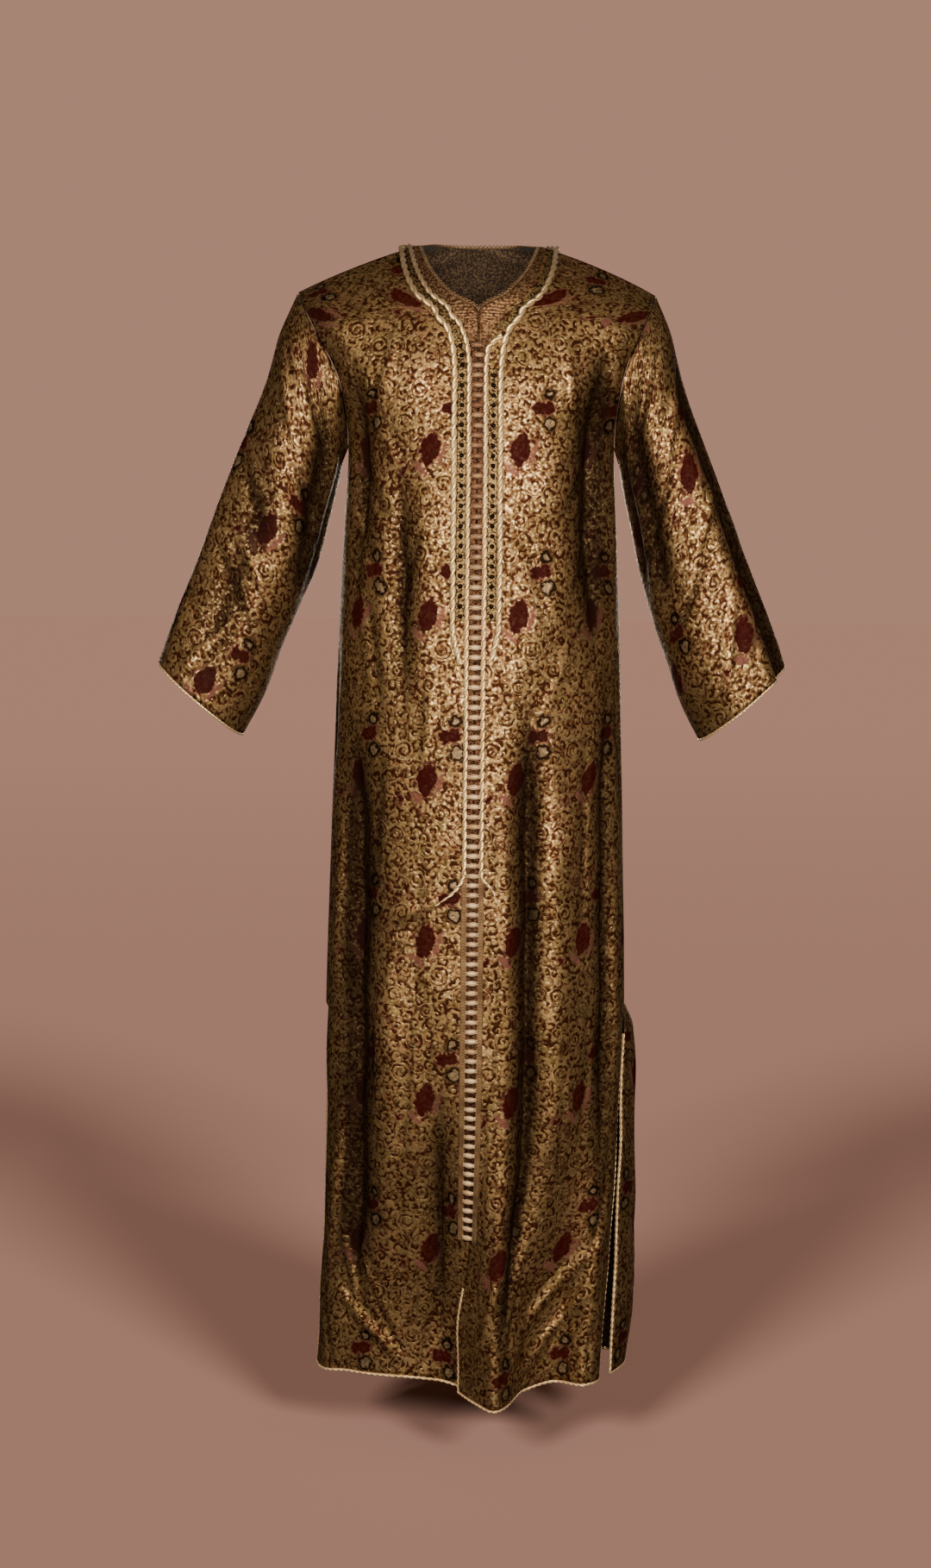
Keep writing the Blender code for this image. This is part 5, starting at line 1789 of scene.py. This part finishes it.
pitch = (FIRST_BUTTON - LAST_BUTTON) / BUTTON_COUNT
knots, loops = [], []
for k in range(BUTTON_COUNT):
    level = FIRST_BUTTON - pitch * (k + 0.5) + KNOT_SWAY * math.sin(2.1 * k)
    ends = [front_panels[side].above(level, KNOT_ACROSS, 0.0)[0] for side in SIDES]
    out = unit(sum(front_panels[side].out(level, KNOT_ACROSS)[0] for side in SIDES))
    across = unit(ends[1] - ends[0])
    up = unit(np.cross(out, across)) * -1
    middle = (ends[0] + ends[1]) / 2 + out * (KNOT_HIGH * KNOT_SIT + BRAID_THICK)
    tilt = KNOT_TILT * math.sin(1.7 * k)
    knots.append(knot_part(middle, across + up * tilt, up, out, 0.9 * k))
    for side in SIDES:
        loops += loop_parts(front_panels[side], level)
face_count = trim_piece("knot_buttons", *joined(knots + loops), knot_silk, "button_row")
print(BUTTON_COUNT, "knots every", f"{1000 * pitch:.1f} mm,", face_count, "faces")

# %% [markdown]
# ## Floor, light and camera
# The garment hangs in a plain pale studio. One wide soft light stands in front at chest height, so
# metal thread that faces it shines and cloth that turns up or aside falls dark, which is what shows
# the folds. The floor has lights of its own, and a weaker light behind lets the back be seen too.

# %% Studio
FLOOR_LEVEL = -1.46
WALL_TONE = (0.455, 0.242, 0.172)
AMBIENT_TONE = (0.046, 0.030, 0.021)
LIGHT_TONE = (1.0, 0.91, 0.78)
FLOOR_SIZE = 30
FLOOR_SHADED_NEAR, FLOOR_FAR = (0.55, 0.290, 0.218), (0.65, 0.340, 0.244)
FLOOR_LIGHT_SPREAD = 14


def studio_floor():
    corners = [(x * FLOOR_SIZE, y * FLOOR_SIZE, 0) for x, y in ((-1, -1), (1, -1), (1, 1), (-1, 1))]
    floor = bpy.data.objects.new("floor", mesh_of("floor", corners, [[0, 1, 2, 3]], smooth=False))
    floor.location.z = FLOOR_LEVEL
    floor.visible_diffuse = floor.visible_glossy = False
    material, tree, shader = new_material("pale_floor", 1.0, 0.0)
    shader.inputs["Specular IOR Level"].default_value = 0.0
    # Painted shade: the floor is darker near the front and grows lighter far back, towards the
    # wall's tone
    depth = split(tree, "ShaderNodeSeparateXYZ", place_at(tree))[1].between(1.0, 12.0)
    tree.links.new(swap(tree, depth, FLOOR_SHADED_NEAR, FLOOR_FAR), shader.inputs["Base Color"])
    floor.data.materials.append(material)
    bpy.context.scene.collection.objects.link(floor)
    floor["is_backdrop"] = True
    return floor


def only_on(light, *items):
    """Keeps a light to some objects, as flags and snoots do in a studio."""
    lit = bpy.data.collections.new(f"lit_by_{light.name}")
    for item in items:
        if isinstance(item, bpy.types.Collection):
            lit.children.link(item)
        else:
            lit.objects.link(item)
    light.light_linking.receiver_collection = lit


def put_light(item, place, aim):
    item.location = place
    item.rotation_euler = (Vector(aim) - Vector(place)).to_track_quat("-Z", "Y").to_euler()
    item.visible_camera = False
    bpy.context.scene.collection.objects.link(item)
    return item


def soft_light(name, place, aim, wide, tall, watts):
    light = bpy.data.lights.new(name, "AREA")
    light.shape = "RECTANGLE"
    light.size, light.size_y = wide, tall
    light.energy = watts
    light.color = LIGHT_TONE
    only_on(put_light(bpy.data.objects.new(name, light), place, aim), GARMENT)


def floor_light(name, place, strength):
    light = bpy.data.lights.new(name, "SUN")
    light.angle = math.radians(FLOOR_LIGHT_SPREAD)
    light.energy = strength
    only_on(put_light(bpy.data.objects.new(name, light), place, (0, 0, 0)), floor)


floor = studio_floor()
soft_light("key", (0.08, -2.7, 0.10), (0, 0, -0.38), wide=3.2, tall=1.2, watts=153)
soft_light("back", (0.0, 2.9, -0.35), (0, 0, -0.6), wide=2.6, tall=0.9, watts=66)
floor_light("floor_left", (-1.75, -3.1, 2.1), 2.02)
floor_light("floor_right", (1.75, -3.2, 2.1), 2.02)

world = bpy.data.worlds.new("studio")
bpy.context.scene.world = world
world.use_nodes = True
sky = world.node_tree
air = sky.nodes["Background"]
air.inputs["Color"].default_value = (*AMBIENT_TONE, 1.0)
wall = sky.nodes.new("ShaderNodeBackground")
wall.inputs["Color"].default_value = (*WALL_TONE, 1.0)
seen = sky.nodes.new("ShaderNodeLightPath")
blend = sky.nodes.new("ShaderNodeMixShader")
sky.links.new(seen.outputs["Is Camera Ray"], blend.inputs[0])
sky.links.new(air.outputs[0], blend.inputs[1])
sky.links.new(wall.outputs[0], blend.inputs[2])
sky.links.new(blend.outputs[0], sky.nodes["World Output"].inputs[0])

# %% Camera
CAMERA_PLACE = (-0.0146, -2.95, -0.342)
CAMERA_DIP, CAMERA_ROLL = 5.8, 0.6

camera = bpy.data.objects.new("camera", bpy.data.cameras.new("camera"))
camera.data.lens = 56.06
camera.data.sensor_width = 36.0
view = Matrix.Translation(CAMERA_PLACE) @ Matrix.Rotation(math.radians(90 - CAMERA_DIP), 4, "X")
camera.matrix_world = view @ Matrix.Rotation(math.radians(CAMERA_ROLL), 4, "Z")
bpy.context.scene.collection.objects.link(camera)
bpy.context.scene.camera = camera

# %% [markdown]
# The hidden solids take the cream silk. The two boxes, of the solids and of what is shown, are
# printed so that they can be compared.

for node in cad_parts.values():
    if not node.data.materials:
        node.data.materials.append(silk)
    for place in range(len(node.data.materials)):
        node.data.materials[place] = silk

bpy.context.view_layer.update()
boxes = {"cad": cad_box, "visual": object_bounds()}
for name, box in boxes.items():
    print(name, [round(side, 4) for side in box[1] - box[0]])
